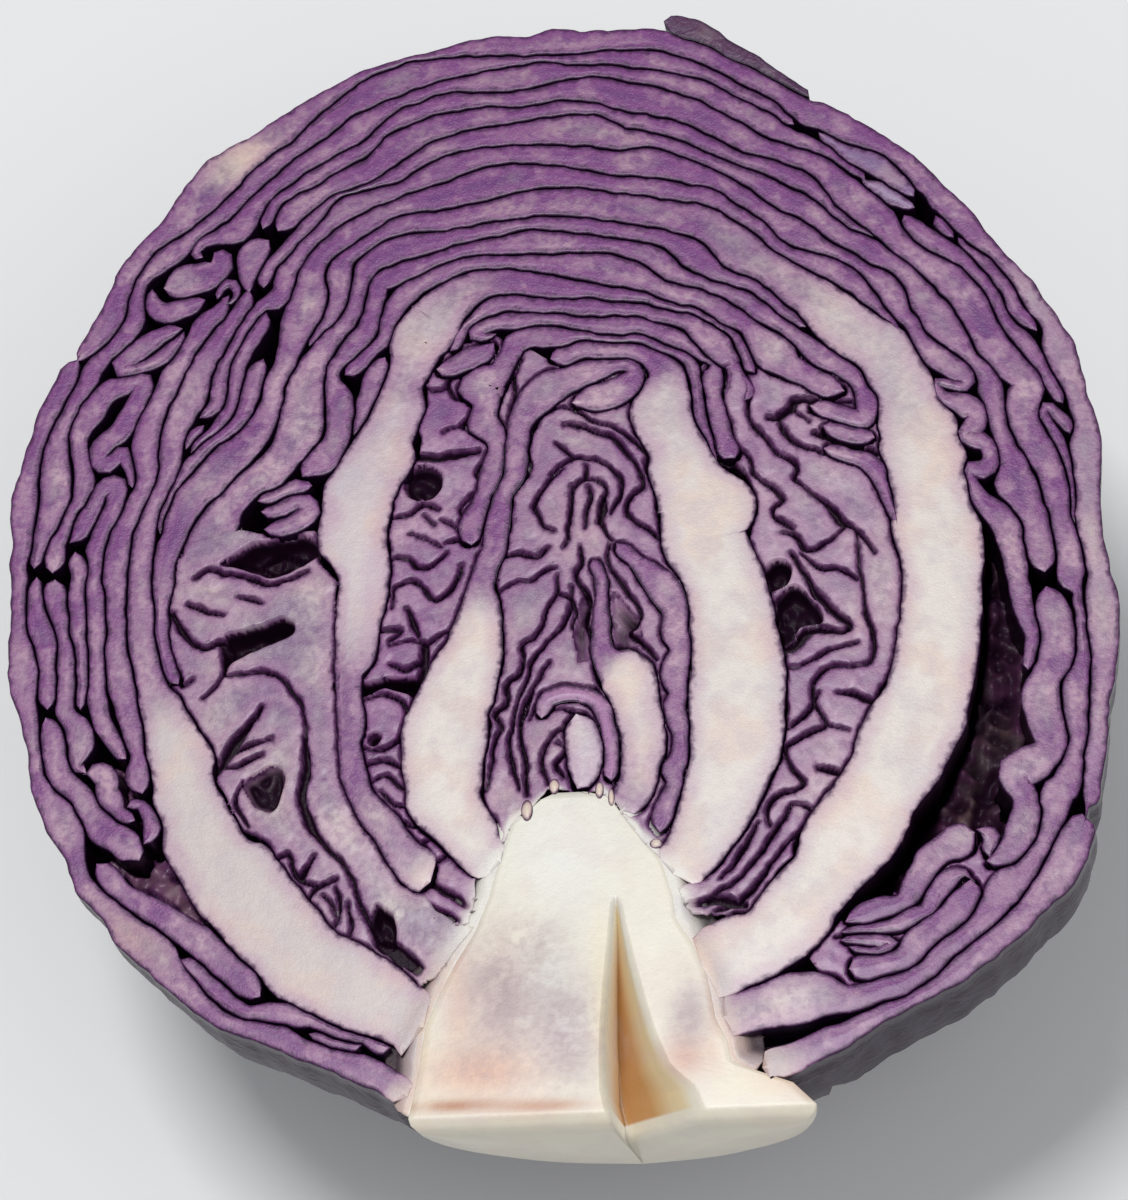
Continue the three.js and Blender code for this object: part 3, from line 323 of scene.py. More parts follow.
leaves["head_leaf_05"] = [
    strip("-42.8,50,.9 -42.8,52.5,.9 -41.5,54.5,.8 -40,55.8,.8 -38.2,57.8,.9",
          layer(CREASE[6], CREASE[7], -21.5, 29),
          "46.5,47.8,1.3 49.5,43.5,1.8 51,41,2.1 52.8,38,2.5 54.6,35,1.7 56.3,32.5,1 58,30.6,1 "
          "59,28.8,1.2 59.2,26.5,1.3 59.8,24,1.1 60.2,21.5,1.1 61,19,1.2 61.8,16.5,1.9 62.2,14,2.4 "
          "63.2,11.5,2 64.2,9,1.6 64.8,6,1.7 65,3,1.7 65,.5,1.7"),
    strip("-48,49.2,.6 -49,47,1 -51.3,45,1.4 -53.6,41.3,1.2 -56.2,35.8,1.2 -58.5,31,1.6 -59,26,1.6 "
          "-59,21,1.5 -60.4,17.3,1.1 -61.9,14.3,1.4 -62.6,11,1.5 -62.7,6,1.4",
          between("-64.3,2 -63.7,-1 -63.7,-8 -62.8,-10 -61.8,-12 -61.3,-14 -60.6,-17 -60.1,-20.5 "
                  "-60,-23 -59.3,-25.2",
                  "-61.3,2 -61,-2 -60.8,-4 -60,-8 -59.3,-12 -58.4,-15 -57.6,-19 -57,-22 -56.5,-25", 14))]
leaves["head_leaf_07"] = [
    strip("-53.3,-9.5,.6 -55,-7,.7 -56,-4,.8 -56.5,0,.9 -56.6,4,1.1 -56,8,1.6 -55,11.5,1.8 -54,15,2 "
          "-52.5,18,2.2 -50,21,2.6 -47.5,24,2.3 -45,26,1.8 -43,28.5,1.6 -41.3,31.5,1.3 -41,35,1.1 "
          "-40,37.5,1 -38.7,41,1.4 -37.8,44,2 -36.6,47,2.6 -36.2,50,2 -36,53,1.6",
          layer(CREASE[8], CREASE[9], -22, 36))]

# ---------------------------------------------------------------- ribbed leaves
# Crisp leaves with a thick white rib that grows out of the stem and thins into a blade over the
# crown. Each rib is drawn from its two edges, and its blade and loose folds follow it.
leaves["head_leaf_06"] = [
    strip("-45,50,.8 -46.5,47,1.3 -48.8,42.5,1.3 -51.5,38,1.8 -53,34,2.3 -55,29.5,2 -55.8,25,1.8 "
          "-56.2,21.5,1.5 -57.8,18,1.3 -58.8,14,1.4 -59.3,10,1.4",
          between("-60.8,5 -60.9,0 -60.2,-6 -59,-11 -57.9,-16 -57.2,-20 -56.2,-25 -55.3,-28 -54,-31 "
                  "-53,-34 -46,-45 -40,-52.5 -36,-56 -32,-58.5 -28,-60.5 -25,-61.5 -22.7,-62.5 "
                  "-19.8,-63.3",
                  "-57.3,5 -57,2 -56.5,-3 -55.8,-6.5 -54.8,-9.5 -53.5,-12.5 -52,-15.5 -50,-18.5 "
                  "-48.5,-21.5 -47.3,-24.5 -45.5,-28 -44,-31 -41.8,-34 -36,-42 -33,-45.5 -30,-48 "
                  "-26,-49.5 -23,-51.5 -21,-54 -18,-56.5",
                  30)),
    strip("-45,49.5,.7 -45.3,52.5,1.2 -44.5,55.5,1.8 -42.5,57.5,1.6"),
    strip("-51.5,30.5,.5 -49.5,32.5,1 -49.2,36,1 -48,39.5,.9 -46.5,43,1 -43.5,46.5,1.1 -40.5,49,1.2 "
          "-39.8,51.5,1.2 -38.5,54,1.2 -37,56.5,1.2",
          layer(CREASE[7], CREASE[8], -21.5, 35),
          "48.3,39,1 49.5,36,1.4 51.3,33.5,2 53.8,31.8,1.8 55.6,30.3,1.1 56,29,.8 55,28.6,.8 "
          "53,29.2,.7 51.5,29.4,.8 51.6,28,.8 52.8,26.6,1.2 55,26,1.6 56.8,25,1.4 57.3,23.5,1.1 "
          "56,21.9,1.1 54.8,21,.8 56,20.6,1 57.8,20.3,.9 58.8,18.8,.9 58.8,17,.9 57.5,16,1 56,16.3,.9 "
          "55.6,15,.7 55.9,13,.8 57,11.4,1 58.8,9.8,1.1 60.3,7.5,1.4 61.2,5,1.4 61.8,2,1.2 62,-2,1.1 "
          "62.8,-6,.8 63.3,-9,.7 62.4,-13.5,.6"),
    strip("-53.3,25.8,.4 -52.6,27.8,.6 -51,29.4,.6"),
    strip("-52.7,25.2,.3 -51.3,27,.5 -49.5,28.4,.5 -48,30.5,.7 -47,33,.7 -47,36,.7 -45.8,39.5,.8 "
          "-44,43.5,.9 -42.5,46,.7"),
    strip("-56.7,13,.4 -56,17.5,.5 -54.7,20.5,.6 -53,23,.9 -51,25.3,.8 -48.5,27.2,.8 -46,29.8,.8 "
          "-44.8,33,.8 -44,36.5,.8 -42.7,39,.5")]
R1_LEFT = (
    "36,37.5 38,36.8 39.5,35.5 40.5,33.5 42,31 43,28.5 43.8,26 44,23 44.5,20 45,16 45.3,13 45.8,10 "
    "46.2,7 46.8,0 46,-5 45.5,-10 44.3,-15 42.5,-19 41,-23 38.5,-28 35.8,-31 34,-33.5 31,-37.5 28,-41 "
    "25.5,-45 22,-47 19.5,-48.5 17,-49.6")
R1_RIGHT = (
    "46,37 48,34.5 49.5,32 50.5,30 51.5,27.5 52.7,25 53.3,23.5 54,22 54.3,20 54.8,17 55.2,12 55.5,8 "
    "55.3,0 54.8,-2 54.5,-8 53.8,-12 53,-16 51.5,-22 49.5,-26 47.5,-30 45,-33 42.5,-38 40,-40.5 36,-45 "
    "33,-49 29,-52.5 25.5,-55 22.5,-56 19.5,-57")
leaves["head_leaf_08"] = [
    strip("-36.3,40.6,.4 -35,42.5,.7 -33.3,45,1 -32.2,47.5,1.5 -32,50,1.7 -32,52,1.7",
          layer(CREASE[9], CREASE[10], -20.5, 26.5), between(R1_LEFT, R1_RIGHT, 44))]
leaves["head_leaf_09"] = [
    strip("-51.5,8,2.8 -50.5,11,2.8 -49,14,2.5 -47,17.3,1.9 -44,19.5,2 -41,21.5,1.9 -38.5,24.5,2.2 "
          "-37.3,27,2.8 -37,30,3 -36.6,34,2.4 -35.5,37,1.8 -34.3,40,1.4 -32.3,42.5,1.2 -30.7,44.5,1.2 "
          "-29.7,47.5,1.1 -29,50,1.2",
          layer(CREASE[10], CREASE[11], -18.5, 27)),
    strip("42.3,8,1.2 43.6,4,1.6 44,0,1.7 43.7,-5,1.4 43.3,-10,1.1 42,-14,.8"),
    strip("30,-36.5,1.4 27.5,-39.5,1.8 25,-42,1.6 23.5,-44,1.2")]
leaves["head_leaf_10"] = [
    strip("-37,20.5,.8 -35.3,22.3,1.5 -33.5,23.6,1.8 -32,25.9,1.7 -31.6,28,1.8 -31.7,31,1.9 "
          "-32.7,34,1.1 -32.6,36.7,.9 -31.3,38.7,1 -29.5,40.8,1 -27.8,43,1.2 -27.5,45,1.1 -27,47.5,1 "
          "-26.5,50,1.2",
          layer(CREASE[11], CREASE[12], -16, 27),
          "36,35,1.7 38,33.8,1.6 40.3,32,1.4 42,29,1.4 42.5,26,1.5 41.5,24,1.2 39,24.5,1.2 36.5,26,1.2 "
          "34.3,27.2,.5"),
    strip("36,23.7,1.1 40,22.7,1.1 43,21.6,.9"),
    strip("36,20.5,.5 40,18.9,.7 43,17.1,1 44.4,14.3,.8 45.1,11.5,.5 45.7,8.5,.25"),
    strip("-42,12.9,.6 -38.5,13.3,1 -35.5,15.5,1.2 -37,16.8,.8 -40,15.9,.8 -42.5,15.5,.5"),
    strip("-43,17,.5 -40,18.2,.7 -37,19.3,.9 -35.3,19,.7"),
    strip("29,-33.5,1.3 26,-37,1.8 23,-40.5,1.8 20,-43,1.6")]
L2_LEFT = (
    "-36.5,-1 -37,-12 -35.7,-15 -35.3,-20 -35.8,-26 -35,-30 -32,-33.5 -29.5,-37 -28,-41 -26.5,-44.5 "
    "-24.5,-48 -22,-50.5 -19,-52.5 -17.3,-53")
L2_RIGHT = (
    "-33,8 -33,-8 -32.7,-12 -32.3,-18 -31.5,-22 -30,-26 -28,-30 -26,-33 -24,-35.5 -22,-38 -20,-41 "
    "-18,-43.5 -15.5,-45.5 -13,-45.3")
leaves["head_leaf_11"] = [
    between(L2_LEFT, L2_RIGHT, 28),
    strip("-31,35.6,.5 -30,36.6,.7 -27.5,38.8,.7 -25.5,41,1 -25,43.5,1.1 -23.7,46.3,1.1 -21,49,1",
          layer(CREASE[12], CREASE[13], -12, 25.5), "31.5,33,1.2 34,31.3,1 37,29.6,1 39,28.8,.6"),
    strip("-25.2,38,.8 -26.7,35,1.2 -27.7,32,1 -28.7,29,.7 -29.6,26.3,.3")]
leaves["head_leaf_12"] = [
    strip(between("-18.5,-39.5 -18,-43.5 -20,-41 -22,-38 -24,-35.5 -26,-33 -28,-30 -30,-26 -31.5,-22 "
                  "-32.3,-18 -32.7,-12 -33,-8 -33.2,0 -33.3,8 -33.3,10 -33.2,14 -33,17.5 -32.5,20 "
                  "-31.5,22.5 -30,25 -28.5,27.3 -27,30 -26,32.5 -25.2,35.5 -24.5,38 -24,40",
                  "-15,-37 -17,-36.5 -23,-34 -25.5,-29.5 -27.5,-27.5 -28.7,-25 -28.8,-23 -29.4,-20 "
                  "-29.5,-17 -28.5,-15 -28.5,-13 -29,-10 -29,-8 -27,-6 -26.4,-3 -26,1 -25.3,4 -25.2,8 "
                  "-25,14 -24.7,17 -24,19.5 -22.5,21.5 -21.5,23.3 -20.7,27 -20.5,30 -20.3,32 -19.5,34 "
                  "-18.2,36",
                  50)[2:],
          layer(CREASE[13], CREASE[14], -17, 24))]
R2_OUTER = (
    "24,35.8 24.5,34 25.5,32.5 26,30.3 25.5,27.5 25.8,25.5 26.5,24 28,22.2 29,20.7 30.5,19.8 32,18.8 "
    "32.3,17.5 31.8,16.3 32.5,15.3 34,13.8 35.7,12.3 37,11 37.7,9.5 38.5,8.5")
R2_INNER = (
    "21.5,34 22.7,32.5 22.5,30.5 22,29 22,27.5 22.8,26 23.2,24 23.3,22.5 24.5,20.8 25.7,19.3 26,17.3 "
    "28,15.8 29.5,14.3 30.3,13 29.2,12.3 28.7,11.3 30,10 31.5,8.8")
R2_TOP = between(R2_OUTER, R2_INNER, 22)
leaves["head_leaf_13"] = [
    strip("-16,38.3,.5 -15.3,39.8,.8 -14.5,41.8,1 -12.8,43.8,1.1 -10,45.2,1.1",
          layer(CREASE[14], CREASE[15], -6, 21), R2_TOP[:6]),
    R2_TOP[5:]]
leaves["head_leaf_14"] = [
    strip("-9.5,40.6,.5 -11.5,40.3,.6 -12.9,40.8,.7 -11.5,41.9,.9 -9,42.5,1 -5,42.6,.9",
          layer(CREASE[15], CREASE[16], 0, 19),
          between("22.7,32.5 22.5,30.5 22,29 22,27.5 22.8,26 23.2,24 23.3,22.5 24.5,20.8 25.7,18.5",
                  "19.7,33.5 19,32.3 19.5,31 20.2,30 19.8,28.5 20,27 20.8,25.3 21.3,23.8 21,22.5 "
                  "21.7,20.3",
                  12)),
    strip("-18,35.8,.9 -15,36.2,1.3 -12,37.2,1.7 -10,39.2,1")]
leaves["head_leaf_15"] = [
    strip("-12.8,9,1.5 -12.6,12,1.4 -11.5,16,1.5 -9.9,19,1.7 -9.5,22,1.2 -9.7,24.5,1.2 -11.7,27.5,2.1 "
          "-11.5,30,1.6 -12,33,3 -9.3,35,1.2 -8,37.3,1.1 -7,39.3,1.2 -4,40.2,1.2 0,39.5,1.6",
          layer(CREASE[16], CREASE[17], 1, 15),
          "18.5,31.5,.8 18.8,28.5,.9 19.3,25.5,.9 20,22.5,.7 21.3,19.5,.4"),
    strip("-19.5,33,.9 -16.5,31,1.2 -14,29.5,1 -16,28,1 -19,27.5,.7"),
    strip("-20.5,25,1 -17,25,1.1 -14,24.5,1 -11.5,23.3,.5"),
    strip("-16.5,21.3,.6 -14,21,.8 -12.8,20,.8 -13,18.5,.7 -15.5,18.5,.5"),
    strip("-20,14.5,.7 -17.5,17,1 -14.5,17.8,1.2 -12.5,17,1 -13.5,15.5,.8 -15,14,.5"),
    strip("-23.5,10.5,.8 -22.5,12.5,1 -20.5,13.3,1.2 -18,11.5,1.3 -16.5,9.5,.8")]
leaves["head_leaf_16"] = [
    strip("-2,36.3,.8",
          between("-1,37.9 3,38.5 6,38.1 9,37.8 11.5,37.2 14,36 16,34.8 17,33.5 17.3,32 17.9,30.5 "
                  "17.9,28 18.3,26 19,24 20,22 21,20.3 22.7,16.8 24,15 24.7,14.2 24.9,11 23.5,8 25,4 "
                  "26.2,0 27,-4 27.6,-9 28.2,-12 28.2,-16 27.8,-20 27.3,-25 26,-28 24.5,-31 23,-34 "
                  "21,-38 18.5,-40.5 15.5,-42",
                  "-2,34.8 1,35.7 3,36.2 6,36.2 8,35.7 11,34.8 11.8,32 10.5,29.5 10.3,25.5 11.5,23 "
                  "12.3,21 13,18.5 13.7,16 14.1,13 14.5,10 15,8 16.3,4 16.9,0 17.5,-4 17.6,-8 17.2,-12 "
                  "17.2,-18 17.3,-23 16.5,-27 15.3,-31 14.2,-34 13.3,-37.8",
                  50))]

# ---------------------------------------------------------------- leaf folded into the left pocket
# One leaf is folded into lobes between the outer left rib and the next. Its fold line keeps its
# neighbours clear, and the folds themselves are pressed into a sheet further on.
leaves["left_fold_leaf"] = [strip("-47.2,-22.8,.8 -46,-25.5,1 -44.5,-28.5,1 -42.5,-31,1")]

# ---------------------------------------------------------------- the heart
# The youngest leaves stand on the growing tip: two short white ribs, thin curled blades between
# them and the pale bud in the middle. They are the same tissue as the head leaves, only thinner.
L4_LEFT = (
    "-11.5,8 -12.2,5 -13.5,0 -14.5,-4 -15.5,-8 -17.5,-11 -18.7,-15 -20,-18 -20.8,-20 -20.7,-23 -20,-27 "
    "-19.5,-30 -17.5,-32.5 -15.5,-34.5 -14,-36.5 -12,-38.3 -9.7,-39")
L4_RIGHT = (
    "-8.5,8 -9.3,5 -9.5,1 -9.3,-3 -9.8,-8 -10.5,-12 -11.2,-16 -11.8,-20 -12,-24 -11.5,-28 -10.5,-31 "
    "-9,-34 -7.2,-35.8")
leaves["heart_leaf_1"] = [
    strip("1,29.6,.7 3.5,30,1.3 6.5,30.5,1.6 9,31.5,1.3 10.2,33.3,.9 9,34.8,.8 6,35,1 2,33.8,1.7 "
          "-1.5,32.3,2 -3.8,30.5,1.8 -5.4,28,1.3 -6.5,25,1.3 -7,21.5,1.3 -7.2,18.5,1.4 -9,15.5,1.3 "
          "-9.7,12,1.5",
          between(L4_LEFT, L4_RIGHT, 30))]
leaves["heart_leaf_2"] = [
    between("-.8,4 -1,1 -2.2,-1 -3,-3.5 -4,-5 -6,-6.3 -5.7,-8.5 -6.5,-10.5 -8,-12 -7.8,-14.5 -9.3,-16 "
            "-8.8,-18 -9.5,-19.7 -10,-24 -10.8,-27",
            "1,2 .5,-2 -.5,-4 -3,-7 -4.5,-9 -5.5,-12 -6.5,-15 -7.3,-18 -7.7,-21 -6.8,-24 -5.8,-27 "
            "-5.3,-28",
            26),
    strip("-3.9,25,.6 -4,22.5,.7 -3.6,20.5,.6 -4.5,18.3,.6 -6,16.6,.5 -7,15.4,.3"),
    strip("0,27.5,.9 -2.5,26.5,1 -3,24.5,.6"),
    strip("0,27.5,.8 3,26.3,.9 6,25.2,.8 8.5,23.5,.7 11,20.5,.5"),
    strip("-1.5,23.5,.6 .5,22.5,.7 1.5,21,.6"),
    strip("0,24.5,1.5 3,23.5,1.4 6,21.8,1.2 8,19.5,1.2 9.3,17.5,1"),
    strip("-4,13,1 -3.5,16,1.6 -1.5,17.5,1.3 -1,14,1.6 -.5,10,1.2 -2,6,1")]
leaves["heart_leaf_3"] = [
    strip("-9,-24,1 -8,-26,1.3 -7.3,-28.5,1.2 -7.5,-30.5,.8"),
    strip("-9,3,.8 -6.5,5.5,1 -4,5.5,1 -2,6.5,.8")]
leaves["heart_leaf_4"] = [
    strip("4,6,.3 5,3,.5 5.2,-2,.6 5,-5.5,.7 5.3,-8,1",
          between("4.5,-9 5,-11.5 6.2,-14 7,-17 7.8,-20 8,-23 7.5,-26 6.5,-29.5",
                  "7.5,-9.5 10,-9.8 11.5,-11 12,-14 12.8,-17.5 13.1,-20 12.7,-24 12,-27 10.5,-30 "
                  "8.2,-31.7",
                  14)),
    between("6.5,8 9,5 11,2 13,-1 14.7,-4 13.8,-6 15.3,-9 13.3,-11.5 14.8,-14.5 13.9,-16.5 14.8,-19 "
            "14.9,-23 13.7,-25 14.5,-27.5 13,-30 12,-32.5 11.5,-34",
            "8.5,8 10.5,5 13,4 15,2 16,1 16.8,-2 17.2,-6 17,-10 17,-16 17.1,-22 16.5,-25 15.7,-28 "
            "15,-31 14.3,-34",
            26)]
leaves["heart_leaf_5"] = [
    strip("-3,-17,.8 -2.2,-14.3,.8 .5,-13.6,.7 3.5,-14.3,.7 5.3,-16,.8 6.2,-19.5,.8 6.6,-23,.7 "
          "6.5,-26.5,.6"),
    strip("-4,-12,.6 -4.8,-15,.7 -5.8,-17.5,.6 -5.8,-20.5,.6 -5,-24,.6 -4.8,-27,.5")]
leaves["heart_bud"] = [
    strip("1.6,-16.8,.9 2,-18,1.7 2.9,-20.5,2 3,-23,1.9 2.5,-25.5,1.5 1.8,-27.2,1.3"),
    strip("-2.5,-18,1 -3,-21,1.4 -2.8,-24.5,1.4 -2,-26.5,.9")]

# ---------------------------------------------------------------- how close the leaves lie
# The leaves press on each other and on the stem, and a thin slit is left between their skins. At
# the stem their feet and its flesh are one tissue, so the slits close there.
GAP = 0.22
# The strips that only keep their neighbours clear, because a pressed sheet shows their folds.
PRESSED = {("left_fold_leaf", 0), ("head_leaf_11", 0), ("head_leaf_13", 1), ("head_leaf_09", 1),
           ("head_leaf_09", 2), ("head_leaf_10", 5), ("heart_leaf_3", 0), ("heart_leaf_3", 1),
           ("heart_leaf_5", 1), ("heart_bud", 1)}
PRESSED |= {("head_leaf_15", k) for k in range(1, 6)} | {("heart_leaf_2", k) for k in range(7)}
every = []
for name, strips in leaves.items():
    for number, knots in enumerate(strips):
        curve = spline(knots)
        every.append(dict(name=name, number=number, curve=curve, run=running_length(curve)))

CORE_LEFT = points(
    "-1,-27.5 -7,-32 -9,-38 -10,-42 -12,-47 -14.5,-51 -17,-56 -18.5,-60 -19.2,-65 -20,-69.5 -20.5,-71")
CORE_RIGHT = points(
    "5,-28 9,-33 13,-38 14.5,-43 14.8,-46 17,-49.5 18.5,-53 19.3,-56 20,-60 21.5,-63 22,-66 24,-67 "
    "35,-69")
CORE_RIM = np.concatenate([CORE_LEFT, [[-22, -76], [38, -76]], CORE_RIGHT[::-1]])


def inside(flat, outline):
    """True for the points within a closed outline, by counting the sides that each point sees."""
    a, b = outline, np.roll(outline, -1, 0)
    y = flat[:, 1, None]
    crosses = (a[:, 1] > y) != (b[:, 1] > y)
    rise = np.where(b[:, 1] == a[:, 1], 1e-9, b[:, 1] - a[:, 1])
    x = (b[:, 0] - a[:, 0]) * (y - a[:, 1]) / rise + a[:, 0]
    return (crosses & (flat[:, 0, None] < x)).sum(1) % 2 == 1


def thin(line):
    """A line of (x, y) rows as one of (x, y, half width) rows with no width."""
    return np.column_stack([line, np.zeros(len(line))])


def off_line(flat, line):
    """How far each point is from a line of (x, y, half width) rows, less that half width, and the
    way back from the point to the line."""
    best, back = np.full(len(flat), 99.0), np.zeros_like(flat)
    for a, b in zip(line[:-1], line[1:]):
        way = b[:2] - a[:2]
        share = np.clip(((flat - a[:2]) @ way) / max(way @ way, 1e-9), 0, 1)
        away = flat - a[:2] - share[:, None] * way
        gap = np.hypot(*away.T) - (a[2] + share * (b[2] - a[2]))
        back = np.where((gap < best)[:, None], -away, back)
        best = np.minimum(best, gap)
    return best, back


def eased(low, high, value):
    """A smooth rise from 0 at low to 1 at high."""
    t = np.clip((np.asarray(value) - low) / (high - low), 0, 1)
    return t * t * (3 - 2 * t)


def off_core(flat):
    """How far each point of the cut is outside the stem, 0 within it."""
    gap = off_line(flat, thin(CORE_RIM))[0]
    return np.where(inside(flat, CORE_RIM), 0, gap)


def melted(flat):
    """1 at the stem, where the leaves' feet and the stem are one flesh, falling to 0 a few mm away."""
    return eased(1.0, 0.25, off_core(flat) / (1.6 + 2.9 * eased(-31, -42, flat[:, 1])))


def foot_tone(flat):
    """White where the leaves leave the growing tip, pinkish grey lower down, rusty at the stem."""
    gap = off_core(flat)[:, None]
    low = eased(-44, -55, flat[:, 1])[:, None]
    white, grey = np.array([.77, .74, .68]), np.array([.47, .37, .37])
    rust = np.exp(-((gap - 0.45) / 0.35)**2) * 0.55 * low
    share = low * np.maximum(eased(0.3, 1.4, gap), eased(21, 25, flat[:, :1]))
    tone = white * (1 - share) + grey * share
    return tone * (1 - rust) + np.array([.56, .30, .17]) * rust


core_edge = np.concatenate([spline(CORE_LEFT), spline(CORE_RIGHT)])
core_rows = np.column_stack([core_edge, np.full(len(core_edge), 0.05)])
cloud = np.concatenate([s["curve"] for s in every] + [core_rows])
owner = np.concatenate([np.full(len(s["curve"]), i) for i, s in enumerate(every)]
                       + [np.full(len(core_edge), -1)])
arc = np.concatenate([s["run"] for s in every] + [np.zeros(len(core_edge))])
# On each side a leaf is as thick as drawn, or less, so that a circle which touches its middle line
# there just clears the nearest neighbour.
for i, s in enumerate(every):
    p, h = s["curve"][:, :2], np.maximum(s["curve"][:, 2], 0.25)
    tangent = np.gradient(p, axis=0)
    tangent /= np.maximum(np.hypot(*tangent.T), 1e-9)[:, None]
    normal = np.column_stack([-tangent[:, 1], tangent[:, 0]])
    apart = cloud[None, :, :2] - p[:, None]
    distance2 = (apart**2).sum(-1)
    delta = np.maximum(cloud[None, :, 2], 0.05) - h[:, None]
    near_self = (owner == i)[None] & (np.abs(arc[None] - s["run"][:, None]) < 3 * h[:, None] + 1.5)
    reach = (apart * normal[:, None]).sum(-1)
    s["melt"] = melted(p)
    s["sides"] = []
    for sign in (1, -1):
        below = 2 * (sign * reach + delta)
        counts = (below > 1e-6) & ~near_self & (distance2 < 12**2)
        width = np.where(counts, (distance2 - delta**2) / np.maximum(below, 1e-6), 99)
        width = np.clip(width.min(1) - GAP / 2 * (1 - 1.5 * s["melt"]), 0.12, h * 1.25 + 0.35)
        soft = np.convolve(np.pad(width, 2, mode="edge"), [0.1, 0.2, 0.4, 0.2, 0.1], "valid")
        s["sides"].append(np.minimum(width + 0.1, soft))
    s["normal"] = normal
    ends = np.minimum(s["run"], s["run"][-1] - s["run"])
    length = np.maximum(np.minimum(s["sides"][0] + s["sides"][1], 2.5) * (1 - s["melt"]), 0.4)
    s["ends"] = ends
    s["tip"] = np.sqrt(np.clip(1 - (1 - np.minimum(ends / length, 1))**2, 0, 1))

